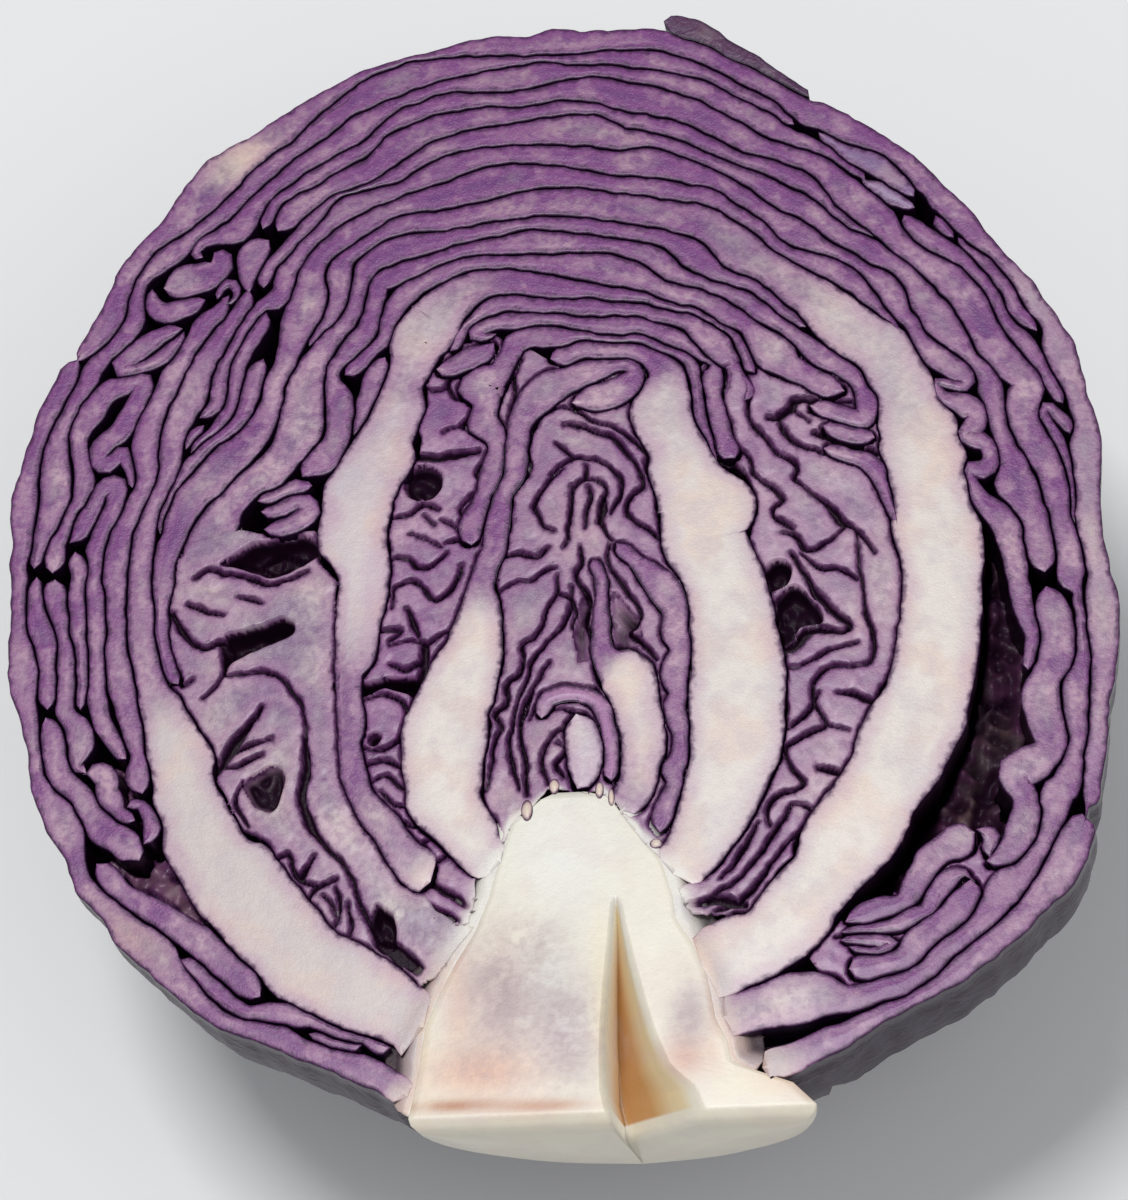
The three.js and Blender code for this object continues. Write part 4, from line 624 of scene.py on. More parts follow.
# ---------------------------------------------------------------- the leaves themselves
# Each leaf is wet purple and white tissue with a dark skin on both sides. Its cut edge is rounded
# over, and its wall runs down below the cut. All the strips of one leaf are one piece.
def tissue(name, rough=0.38, coat=0.18, lumps=0.35, spots=1.0, violet=(0.125, 0.026, 0.165),
           edge=(0.022, 0.005, 0.03)):
    """A wet plant tissue. Tone is its own colour, Stain how much violet blotches it, Skin the distance
    in mm from the leaf's skin, where the violet gathers, and Deep the distance in mm below the cut,
    which darkens the colour as painted shade on the walls, creases and hollows below the cut."""
    material = bpy.data.materials.new(name)
    material.use_nodes = True
    nodes, links = material.node_tree.nodes, material.node_tree.links
    shader = nodes["Principled BSDF"]
    shader.inputs["Roughness"].default_value = rough
    shader.inputs["Coat Roughness"].default_value = 0.22
    place = nodes.new("ShaderNodeTexCoord").outputs["Object"]

    def value(attribute, socket="Fac"):
        node = nodes.new("ShaderNodeAttribute")
        node.attribute_name = attribute
        return node.outputs[socket]

    def noise(scale, detail=3):
        node = nodes.new("ShaderNodeTexNoise")
        node.inputs["Scale"].default_value = scale
        node.inputs["Detail"].default_value = detail
        links.new(place, node.inputs["Vector"])
        return node.outputs["Fac"]

    def ramp(source, start, end, low=0.0, high=1.0):
        node = nodes.new("ShaderNodeMapRange")
        node.interpolation_type = "SMOOTHSTEP"
        for socket, number in (("From Min", start), ("From Max", end),
                               ("To Min", low), ("To Max", high)):
            node.inputs[socket].default_value = number
        links.new(source, node.inputs["Value"])
        return node.outputs["Result"]

    def math_of(kind, a, b):
        node = nodes.new("ShaderNodeMath")
        node.operation = kind
        for socket, source in zip(node.inputs, (a, b)):
            if isinstance(source, (int, float)):
                socket.default_value = source
            else:
                links.new(source, socket)
        return node.outputs["Value"]

    def mix(share, first, second):
        node = nodes.new("ShaderNodeMix")
        node.data_type = "RGBA"
        links.new(share, node.inputs["Factor"])
        for socket, source in ((node.inputs[6], first), (node.inputs[7], second)):
            if isinstance(source, tuple):
                socket.default_value = source + (1,)
            else:
                links.new(source, socket)
        return node.outputs[2]

    def times(a, b):
        return math_of("MULTIPLY", a, b)

    def plus(a, b):
        return math_of("ADD", a, b)

    def ridges(scale, width):
        node = nodes.new("ShaderNodeTexVoronoi")
        node.feature = "DISTANCE_TO_EDGE"
        node.inputs["Scale"].default_value = scale
        links.new(place, node.inputs["Vector"])
        return ramp(node.outputs["Distance"], 0.0, width, 1, 0)

    skin, deep, stain, bloom = value("Skin"), value("Deep"), value("Stain"), value("Bloom")
    patch, broad, mottle, speck = noise(120, 2), noise(240, 3), noise(900, 4), noise(3600, 2)
    pale = math_of("SUBTRACT", 1.0, stain)
    peach, lilac = (0.76, 0.54, 0.44), (0.52, 0.47, 0.54)
    colour = value("Tone", "Color")
    colour = mix(times(ramp(patch, 0.48, 0.62), times(pale, 0.42 * spots)), colour, peach)
    colour = mix(times(ramp(broad, 0.48, 0.66), times(pale, 0.3 * spots)), colour, lilac)
    blotch = plus(ramp(broad, 0.36, 0.56), times(math_of("SUBTRACT", 0.53, patch), 3.2))
    colour = mix(times(blotch, stain), colour, violet)
    colour = mix(times(ramp(mottle, 0.42, 0.62), times(stain, 0.6)), colour, violet)
    colour = mix(times(ramp(speck, 0.55, 0.75), 0.14), colour, (0.62, 0.50, 0.60))
    wide = plus(skin, times(math_of("SUBTRACT", broad, 0.5), 5.0))
    colour = mix(times(ramp(wide, 0.2, 3.4, 1, 0), 0.38), colour, (0.38, 0.11, 0.31))
    seep = plus(skin, times(math_of("SUBTRACT", mottle, 0.5), 1.6))
    seeping = times(ramp(seep, 0.1, 1.1, 1, 0), plus(times(stain, 0.55), 0.3))
    colour = mix(seeping, colour, (0.13, 0.028, 0.15))
    colour = mix(times(ramp(seep, 0.0, 0.75, 1, 0), 0.88), colour, (0.060, 0.008, 0.065))
    rind = plus(skin, times(math_of("SUBTRACT", mottle, 0.5), 0.3))
    colour = mix(ramp(rind, 0.02, 0.16, 1, 0), colour, edge)
    # Painted shade: below the cut the colour darkens towards near black with depth, standing in for the
    # shade on leaf walls, in crease floors and in hollows.
    below = ramp(deep, 0.3, 3)
    colour = mix(below, colour, (0.015, 0.004, 0.014))
    open_air = math_of("SUBTRACT", 1.0, below)
    lit = times(math_of("SUBTRACT", 1.0, bloom), open_air)
    links.new(times(lit, coat), shader.inputs["Coat Weight"])
    links.new(plus(times(open_air, 0.25), 0.1), shader.inputs["Specular IOR Level"])
    veins = plus(ridges(105, 0.1), times(ridges(310, 0.12), 0.6))
    waxy = mix(ramp(broad, 0.35, 0.65), (0.023, 0.010, 0.025), (0.046, 0.038, 0.059))
    waxy = mix(times(veins, 0.22), waxy, (0.11, 0.08, 0.12))
    waxy = mix(times(ramp(speck, 0.6, 0.72), 0.12), waxy, (0.24, 0.21, 0.24))
    colour = mix(bloom, colour, waxy)
    links.new(colour, shader.inputs["Base Color"])
    bump = nodes.new("ShaderNodeBump")
    bump.inputs["Strength"].default_value = lumps
    bump.inputs["Distance"].default_value = 0.0004
    height = plus(plus(mottle, times(speck, 0.4)), times(times(veins, bloom), 0.8))
    links.new(height, bump.inputs["Height"])
    links.new(bump.outputs["Normal"], shader.inputs["Normal"])
    return material


leaf_tissue = tissue("leaf tissue")
# How far down its bowl a wall is drawn, and the steps in from the skin with the height of each,
# in mm, that round the cut edge over.
LATITUDES = np.radians([0.3, 0.9, 2, 4, 7, 11, 16, 23, 32, 43, 56, 68])
SHALLOW = {"torn_leaf_scrap": 0.2}
INSET = np.array([0, 0.08, 0.25, 0.6, 1.4])
DROP = np.array([-0.15, -0.04, 0, 0.015, 0.02])
MIDDLE_RISE = 0.05
SIDE = len(LATITUDES)
TOP = 2 * len(INSET) + 1


def from_skin(inset, side):
    """The step in from the skin, no more than a share of the leaf's thickness on that side."""
    return np.minimum(inset, side * (0.1 + 0.75 * inset / INSET[-1]) * (inset > 0))


def leaf_wall(s):
    """The strip's section carried down its bowl: rows follow the strip, columns go up one side,
    over the rounded cut and down the other side."""
    p, normal, apart = s["curve"][:, :2], s["normal"], 1 - s["melt"]
    plus, minus = (side * s["tip"] for side in s["sides"])
    level = 0.015 * np.sin(s["run"] * 0.3 + len(p)) * apart
    down = LATITUDES * SHALLOW.get(s["name"], 1)
    columns = [sink(p + normal * plus[:, None], np.full(len(p), latitude)) for latitude in down[::-1]]
    for sign, side in ((1, plus), (-1, minus)):
        for inset, drop in list(zip(INSET, DROP))[::sign]:
            flat = p + normal * (sign * (side - from_skin(inset, side)))[:, None]
            height = drop * (apart if drop < 0 else 1) + level
            columns.append(np.column_stack([unsteady(flat), height]))
        if sign == 1:
            columns.append(np.column_stack([unsteady(p), MIDDLE_RISE + level]))
    columns += [sink(p - normal * minus[:, None], np.full(len(p), latitude)) for latitude in down]
    return np.stack(columns, 1)


def paint(mesh, looks):
    """Writes each look onto the mesh's points, Tone as a colour and the others as numbers."""
    for look, values in looks.items():
        kind, field = ("FLOAT_COLOR", "color") if look == "Tone" else ("FLOAT", "value")
        mesh.attributes.new(look, kind, "POINT").data.foreach_set(field, np.ravel(values))


def put_in(name, mesh, material, nodes):
    """Puts a finished mesh in place as one piece that stands for the named CAD nodes."""
    mesh.shade_smooth()
    piece = bpy.data.objects.new(name, mesh)
    bpy.context.collection.objects.link(piece)
    mesh.materials.append(material)
    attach(piece, "root")
    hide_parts(*nodes)
    return piece


def mesh_piece(name, grids, looks, material, node):
    """One object from several closed grids whose first and last columns meet."""
    verts, faces, base = [], [], 0
    for grid in grids:
        rows, cols = grid.shape[:2]
        index = base + np.arange(rows * cols).reshape(rows, cols)
        around = np.concatenate([index, index[:, :1]], 1)
        quads = np.stack([around[:-1, :-1], around[1:, :-1], around[1:, 1:], around[:-1, 1:]], -1)
        quads = quads.reshape(-1, 4)
        verts.append(grid.reshape(-1, 3))
        faces.append(quads)
        base += rows * cols
    verts = (np.concatenate(verts) + FACE_CENTRE) * MM
    mesh = bpy.data.meshes.new(name)
    mesh.from_pydata(verts.tolist(), [], np.concatenate(faces).tolist())
    paint(mesh, {look: np.concatenate([own[look].ravel() for own in looks]) for look in looks[0]})
    model = bmesh.new()
    model.from_mesh(mesh)
    bmesh.ops.remove_doubles(model, verts=model.verts, dist=0.02 * MM)
    bmesh.ops.recalc_face_normals(model, faces=model.faces)
    model.to_mesh(mesh)
    model.free()
    put_in(name, mesh, material, [node])


RIBBED = ("head_leaf_06", "head_leaf_08", "head_leaf_11", "head_leaf_12", "head_leaf_16",
          "heart_leaf_1", "heart_leaf_4")
WRAPPERS = ("torn_leaf_scrap", "top_wrapper_leaf", "left_wrapper_leaf", "right_wrapper_leaf")


LILAC, CREAM = (0.50, 0.37, 0.42), (0.78, 0.71, 0.65)
# The ribs that are less white than the others, and single strips of another colour.
RIB_CREAM = {"head_leaf_06": (0.64, 0.56, 0.535), "head_leaf_12": (0.66, 0.57, 0.58),
             "head_leaf_16": (0.76, 0.70, 0.65)}
TINT = {("torn_leaf_scrap", 0): (0.06, 0.02, 0.07), ("head_leaf_01", 4): (0.16, 0.17, 0.28),
        ("head_leaf_02", 1): (0.33, 0.34, 0.46), ("heart_bud", 0): (0.80, 0.74, 0.74),
        ("heart_leaf_5", 0): (0.44, 0.24, 0.42)}
# Weathered places on the wrapper leaves: across, towards the crown, wide, tall, colour, strength.
WEATHERED = (
    (-46, 70, 5, 5, (.74, .64, .48), .85), (-66, 31, 4, 7, (.42, .39, .33), .75),
    (-69, 18, 4, 6, (.52, .24, .28), .6), (-72, 3, 4, 7, (.20, .11, .07), .75),
    (74, 8, 5, 22, (.55, .52, .50), .85), (66, 42, 6, 12, (.50, .47, .46), .8),
    (-60, -48, 6, 7, (.42, .31, .20), .7), (71, -28, 4, 8, (.36, .28, .42), .5),
    (-30, 78, 7, 3, (.56, .50, .44), .6), (50, -64, 9, 4, (.40, .22, .38), .4),
    (-72, -12, 4, 6, (.30, .20, .28), .5))


def look_of(s, grid):
    """Lilac flesh, paler in a thick rib and more violet in the thin leaves over the crown."""
    rows, cols = grid.shape[:2]
    lilac, cream = np.array(LILAC), np.array(RIB_CREAM.get(s["name"], CREAM))
    plus, minus = s["sides"]
    thick = np.clip((plus + minus - 3.3) / 4, 0, 1) * (1 if s["name"] in RIBBED else 0.45)
    thick = thick * (1 - 0.35 * eased(6, 30, s["curve"][:, 1]))
    x, y = s["curve"][:, 0], s["curve"][:, 1]
    crown = np.clip((y - 35) / 25, 0, 1) * np.clip(1.3 - np.abs(x) / 60, 0, 1)
    tone = (lilac * (1 - thick[:, None]) + cream * thick[:, None]) * (1 - 0.3 * crown[:, None])
    stain = np.clip(0.85 + 0.25 * crown - 1.0 * thick, 0.04, 1)
    skin = np.zeros((rows, cols))
    for sign, side in ((1, plus), (-1, minus)):
        for k, inset in enumerate(INSET):
            column = SIDE + k if sign == 1 else SIDE + TOP - 1 - k
            skin[:, column] = from_skin(inset, side)
    skin[:, SIDE + len(INSET)] = (plus + minus) / 2
    # How far below the cut each point lies: the tissue paints the colour darker with it as shade, and
    # the wrapper walls grow their bloom with it.
    deep = np.maximum(-grid[..., 2] - 0.3, 0)
    if (s["name"], s["number"]) in TINT:
        tone, stain = tone * 0 + np.array(TINT[s["name"], s["number"]]), stain * 0 + 0.25
    if s["name"] in WRAPPERS:
        for px, py, wide, tall, tint, strength in WEATHERED:
            share = np.exp(-((x - px) / wide)**2 - ((y - py) / tall)**2) * strength
            tone = tone * (1 - share[:, None]) + np.array(tint) * share[:, None]
            stain = stain * (1 - 0.9 * share)
    melt = s["melt"]
    tone = tone * (1 - melt[:, None]) + foot_tone(s["curve"][:, :2]) * melt[:, None]
    stain = stain * (1 - melt)
    skin[:, SIDE:SIDE + TOP] += 2 * melt[:, None]**2
    colour = np.concatenate([np.repeat(tone[:, None], cols, 1), np.ones((rows, cols, 1))], -1)
    bloom = np.full((rows, cols), 0.6 if s["name"] == "torn_leaf_scrap" else 0.0)
    if s["name"] in WRAPPERS[1:]:
        bloom[:, :SIDE] = eased(0.6, 1.4, deep[:, :SIDE])
    stain = np.repeat(stain[:, None], cols, 1)
    return dict(Tone=colour, Skin=skin, Deep=deep, Stain=stain, Bloom=bloom)


for name in leaves:
    own = [s for s in every if s["name"] == name and (name, s["number"]) not in PRESSED]
    if own:
        grids = [leaf_wall(s) for s in own]
        looks = [look_of(s, grid) for s, grid in zip(own, grids)]
        mesh_piece("cut_" + name, grids, looks, leaf_tissue, name)

# ---------------------------------------------------------------- folds pressed into the pockets
# Between the ribs the blades are crumpled so tightly that the cut shows their flesh as one quilt,
# parted by creases where skin meets skin, dark with that skin and with painted shade in their
# floors, and with a few open hollows painted dark as shade. Each quilt is one sheet.
QUILT_THICKNESS = 0.4 * MM
FAR = 99.0
BATCH = 60


def off_leaves(flat, chosen):
    """How far each point is outside the nearest of the chosen leaf strips."""
    best = np.full(len(flat), FAR)
    low, high = flat.min(0) - 6, flat.max(0) + 6
    for s in chosen:
        line = s["curve"]
        picked = np.flatnonzero(((line[:, :2] > low) & (line[:, :2] < high)).all(1))
        for start in range(0, len(picked), BATCH):
            k = picked[start:start + BATCH]
            apart = flat[:, None] - line[None, k, :2]
            side = (apart * s["normal"][None, k]).sum(-1)
            half = np.where(side > 0, s["sides"][0][k], s["sides"][1][k]) * s["tip"][k]
            half = np.minimum(half, s["ends"][k] + 0.3)
            best = np.minimum(best, (np.hypot(apart[..., 0], apart[..., 1]) - half).min(1))
    return best


def crease_line(crease):
    """A crease's curve. Where no half widths are given, they swell and thin along it by a sine."""
    line = points(crease)
    if line.shape[1] == 2:
        half = 0.05 + 0.13 * np.abs(np.sin(1.3 * line[:, 0] + 0.9 * line[:, 1]))
        half[[0, -1]] = 0.03
        line = np.column_stack([line, half])
    return spline(line, 0.7)


def quilt(name, nodes, outline, creases, hollows=(), base=0.05, bumps=0.03, grain=0.25,
          tone=(0.42, 0.28, 0.42), groove=2.2, stain=0.5, skip=()):
    """A sheet over the outline that dips along each crease and beside each leaf, and sinks in each
    hollow. base is its level, bumps the height of its lumps, grain the spacing of its points and
    groove a crease's depth, all in mm. It runs on under the strips named in skip."""
    outline = points(outline)
    low, high = outline.min(0), outline.max(0)
    xs = np.arange(low[0], high[0] + grain, grain)
    ys = np.arange(low[1], high[1] + grain, grain)
    flat = np.stack(np.meshgrid(xs, ys), -1).reshape(-1, 2)
    # The sheet's edge points move onto its outline, and those beside a hollow onto its rim.
    rim_gap, back = off_line(flat, thin(np.concatenate([outline, outline[:1]])))
    at_rim = rim_gap < grain * 0.75
    within = inside(flat, outline) | at_rim
    flat = flat + np.where(at_rim[:, None], back, 0)
    rings = [spline(np.concatenate([points(rim), points(rim)[:1]]), 0.7) for rim, _ in hollows]
    for ring in rings:
        gap, back = off_line(flat, thin(ring))
        flat = flat + np.where(((gap < grain * 0.6) & (rim_gap > grain))[:, None], back, 0)
    # How far each point is from the leaves beside the sheet, and from those that it runs under.
    clear, joined = np.full(len(flat), -9.0), np.full(len(flat), FAR)
    if skip == "all":
        clear[within] = 9
    else:
        drawn = [s for s in every if (s["name"], s["number"]) not in PRESSED]
        beside = [s for s in drawn if (s["name"], s["number"]) not in skip]
        over = [s for s in drawn if (s["name"], s["number"]) in skip]
        clear[within] = off_leaves(flat[within], beside)
        joined[within] = off_leaves(flat[within], over)
    within &= clear > -0.35
    distance = np.clip(clear, 0, 9)
    for line in map(crease_line, creases):
        box = ((flat > line[:, :2].min(0) - 3) & (flat < line[:, :2].max(0) + 3)).all(1) & within
        if box.any():
            distance[box] = np.minimum(distance[box], off_line(flat[box], line)[0])
    distance = np.maximum(distance, 0)
    # Its height: the level, lumps, a lap over the leaf that it joins, grooves and hollows.
    turn = (flat[:, None, :] * WAVES).sum(-1)[..., None] + PHASES
    lumps = np.sin(turn[..., 0]).sum(-1) / 5
    melt = melted(flat)
    level = base(flat) if callable(base) else np.full(len(flat), base)
    lap = (0.08 - 0.4 * eased(0.5, 0.0, rim_gap)) * eased(0.9, 0.1, joined)
    z = level + lap * (1 - melt) + bumps * lumps * (1 - melt)
    z -= (0.1 * np.exp(-distance / 0.5) + groove * (1 - eased(-0.05, 0.22, distance))) * (1 - melt)
    distance = distance + 2 * melt**2
    for ring, (_, depth) in zip(rings, hollows):
        edge = off_line(flat, thin(ring))[0]
        sunk = eased(0.02, 1.2, np.where(inside(flat, ring), edge, -edge))**0.6
        z -= sunk * (depth + 0.5 * lumps)
        distance = np.where(sunk > 0.02, np.minimum(distance, edge), distance)
    # Deep drives the painted shade: the colour darkens with depth in the grooves and hollows. Sheets
    # that lie deep already have a dark tone and take little of it.
    lies_deep = level.max() < -2
    deep = np.maximum(-z - 0.3, 0) * (0.25 if lies_deep else 1.8)
    index = np.arange(len(flat)).reshape(len(ys), len(xs))
    quads = np.stack([index[:-1, :-1], index[:-1, 1:], index[1:, 1:], index[1:, :-1]], -1)
    quads = quads.reshape(-1, 4)
    quads = quads[within[quads].all(1)]
    used = np.unique(quads)
    number = np.zeros(len(flat), int)
    number[used] = np.arange(len(used))
    verts = (np.column_stack([unsteady(flat[used]), z[used]]) + FACE_CENTRE) * MM
    mesh = bpy.data.meshes.new(name)
    mesh.from_pydata(verts.tolist(), [], number[quads].tolist())
    count = len(used)
    own = tone(flat[used]) if callable(tone) else np.tile(tone, (count, 1))
    share = melt[used][:, None]
    colour = np.column_stack([own * (1 - share) + foot_tone(flat[used]) * share, np.ones(count)])
    paint(mesh, dict(Tone=colour, Skin=distance[used], Deep=deep[used], Stain=stain * (1 - melt[used]),
                     Bloom=np.zeros(count)))
    sheet = put_in(name, mesh, leaf_tissue, nodes)
    thickness = sheet.modifiers.new("thickness", "SOLIDIFY")
    thickness.thickness = QUILT_THICKNESS
    thickness.offset = -1


def left_tone(flat):
    """Pale lilac at the top of the pocket, creamier along the leaf that runs down to the stem."""
    rib = np.interp(flat[:, 1], [-48, -30, -8], [-22, -34, -38])
    cream = (eased(-12, -34, flat[:, 1]) * eased(-6, 2, flat[:, 0] - rib))[:, None]
    return np.array([.52, .43, .45]) * (1 - cream) + np.array([.66, .58, .56]) * cream


quilt("left_pocket_folds", ["left_fold_leaf"],
      "-54.3,8 -52.8,12 -48.5,13 -47,13.5 -44,12.3 -34,12 -32,15 -32,8 -31.2,-8 -30.8,-12 -30.6,-18 "
      "-30,-22 -29.2,-26 -27.2,-30 -25.2,-33 -23.2,-35.5 -21.2,-38 -19.2,-41 -17.2,-43.5 -14.7,-45.5 "
      "-12,-46 -15,-50 -17.3,-53 -20.5,-54.5 -26,-49.5 -36,-42 -44,-31 -50,-18.5 -54.6,-9.5 -55.5,-4 "
      "-55.2,4",
      ["-54.6,1,.3 -53.8,-.5,.3 -52.5,-2.5,.2 -51,-4,.2 -49.5,-4.2,.2 -47.7,-3.5,.3 -47.2,-4.5,.3 "
       "-47.3,-8.5,.2 -48.5,-10,.15 -50,-11.5,.1",
       "-45.5,3 -43.7,2.6 -42,2", "-52,6 -49.5,7.5 -47,6.3 -44,5.8 -41,4.7 -38,5.2 -35.5,6.2",
       "-46,8.6 -43,9 -40,10.2 -37,9.2 -35,9.6", "-43.5,8.7 -41,7.6 -38.5,8",
       "-52.5,2.5 -50,1.2 -47.5,.4", "-51.5,-8.8 -53,-9.8",
       "-47.3,-8.5 -45,-8.5 -42,-8.3 -39,-9.5 -37,-12 -35.7,-15 -35.3,-20",
       "-35.5,-18,.15 -35.3,-22,.35 -35.8,-26,.5 -35,-30,.45 -32.5,-33.5,.15 -29.5,-37,.12 -28,-41,.12 "
       "-26.5,-44.5,.15 -24.5,-48,.3 -22,-50.5,.5",
       "-41.7,-13.3,.2 -43,-15.5,.3 -45,-18,.6 -46.5,-20.5,.5", "-40,-18 -43,-18.8 -46,-20.3",
       "-46.5,-20.5,.4 -47.5,-22.5,.3", "-47.3,-22 -45,-21.8 -43,-20.8 -41.5,-20.2",
       "-44,-24 -45,-27 -43,-30.5",
       "-41.5,-33.1,.2 -40.3,-34.6,.1 -39.8,-36.2,.2 -38.9,-35.2,.1 -37.5,-34.7,.1 -36.7,-36.6,.2 "
       "-35.8,-38.3,.3 -35,-37.2,.2 -34,-35.1,.1",
       "-35.8,-38.5,.2 -34.5,-39.1,.1 -32.8,-39.6,.1 -31,-38.5,.1",
       "-35.6,-42.6,.1 -34.9,-41.9,.2 -34,-40.3,.2 -32.8,-39.6,.2",
       "-31,-39.7 -30.4,-41.6 -30.5,-43.3 -31,-44.9", "-32.7,-41 -31.4,-42 -30.9,-43.5",
       "-29.4,-41.9 -28.7,-44.5 -28.8,-46.5", "-24.5,-47.5,.8 -22,-49.5,1 -19.5,-51.5,.6"],
      [("-48.8,8 -46,9.6 -43.5,11 -40,11.6 -36.5,11.8 -34.4,10.6 -34.3,8.3 -36,7 -38.5,6 -41,5.7 "
        "-44,6.6 -46.5,7.4",
        4),
       ("-47.2,-2.3 -43,-1.3 -38.8,-.3 -37.2,-1.3 -37.8,-3.3 -42,-4.8 -45.5,-6.6 -47.1,-7.8 -47.3,-4.5",
        5),
       ("-44.2,-24.6 -42.4,-23 -40,-21.8 -38.6,-22.5 -38.4,-25.5 -39.3,-28.5 -41,-28.5 -43,-27", 2.2),
       ("-25.5,-42 -23,-44 -22.5,-48 -25,-47.5 -26.3,-45", 4)],
      skip=(("head_leaf_09", 0),), tone=left_tone, stain=0.5)
quilt("left_rib_folds", ["head_leaf_14"],
      "-24.5,40 -17,40 -14,39 -10,40.5 -6.5,38.5 -7,35 -9,32 -10,28 -8.5,24 -8,19 -10,16 -11,12 "
      "-11.5,6 -13.5,0 -14.5,-4 -15.5,-8 -17.5,-11 -18.7,-15 -20.8,-20 -20,-27 -17.5,-32.5 -12,-38.3 "
      "-12,-42 -12.5,-45.5 -15.5,-45.7 -19,-43.5 -23,-34 -27.5,-27.5 -29.4,-20 -29,-8 -26,1 -25.2,8 "
      "-24.7,17 -21.5,23.3 -20.5,30 -19,36",
      ["-11,35 -13.5,34.8 -15.5,34.5 -16.2,33.2 -15.5,31.8 -14,30.5 -13,29.5 -13.5,28.2 -14.5,27 "
       "-13,26.3 -11.5,25 -10.5,23.7 -10.2,23 -11,21.7 -12,20.5 -12.2,19.6 -11.2,18.2 -12,17 "
       "-13.5,15.7 -14.5,14.3 -14.3,13",
       "-17,26.2 -14.5,27", "-19.5,13.7 -18,12.2", "-17,13 -15,11.5", "-21.5,10.8 -17,9",
       "-13.5,11.5 -13.7,10.5 -15,9.9 -16.5,9.5", "-21,22.5,.4 -18,22.3,.5 -15,22.6,.4 -12,22.9,.1",
       "-24,13.5 -21.5,14 -19.5,15.2 -17.5,14.6", "-20,33 -17.5,32.6 -16.2,33.2",
       "-24,0 -23.5,3 -21.5,4 -19.5,3 -18,1 -16.5,1.5 -15,3.5 -14.3,6", "-22,0,.1 -21,-2,.3 -20,-4,.1",
       "-24.5,7 -22,7.5 -20,6 -18,6.3 -16,8", "-26,-3 -24,-3 -22.5,-3 -24,-4.5",
       "-24,-5 -21,-4.6 -19,-5.5 -19.5,-8 -22,-9 -24,-8", "-15,-3 -18,-5 -19,-6",
       "-19,-6,.3 -19.5,-10,.5 -20.5,-15,.5 -21,-20,.4",
       "-28,-13 -25,-12.3 -22.5,-13.5 -21.5,-16 -22.5,-19 -25,-20.5 -27.5,-20",
       "-28,-22.5 -25,-22 -22,-23 -20.5,-22", "-27.5,-25 -24.5,-24.3 -22,-26 -20,-26",
       "-25,-26.5 -23,-28.5 -20,-28.5", "-25,-30.5 -22.5,-30.6 -20,-31.5 -18.5,-31",
       "-22.5,-33.5 -20,-34 -17.5,-33.5", "-18,-40,.2 -15.5,-41.3,.3 -13,-43,.3",
       "-19.5,-42.3,.2 -16.5,-44,.3 -14,-45,.3", "-20.5,-36.5 -17.5,-36.7 -15,-35.5"],
      [("-22.3,20.5 -20.5,21.2 -17.5,20.5 -17,18 -18.5,16 -21,15.8 -22.5,17.5", 3),
       ("-26.3,-10.2 -23,-10 -19.8,-10.6 -20.2,-13.5 -22,-12.5 -25,-11.6 -27.5,-12.5 -28.3,-11", 6),
       ("-27,-18.2 -25.8,-17.6 -24.8,-18.7 -25.7,-19.9 -27,-19.6", 3)],
      tone=(0.45, 0.33, 0.42), stain=0.6)
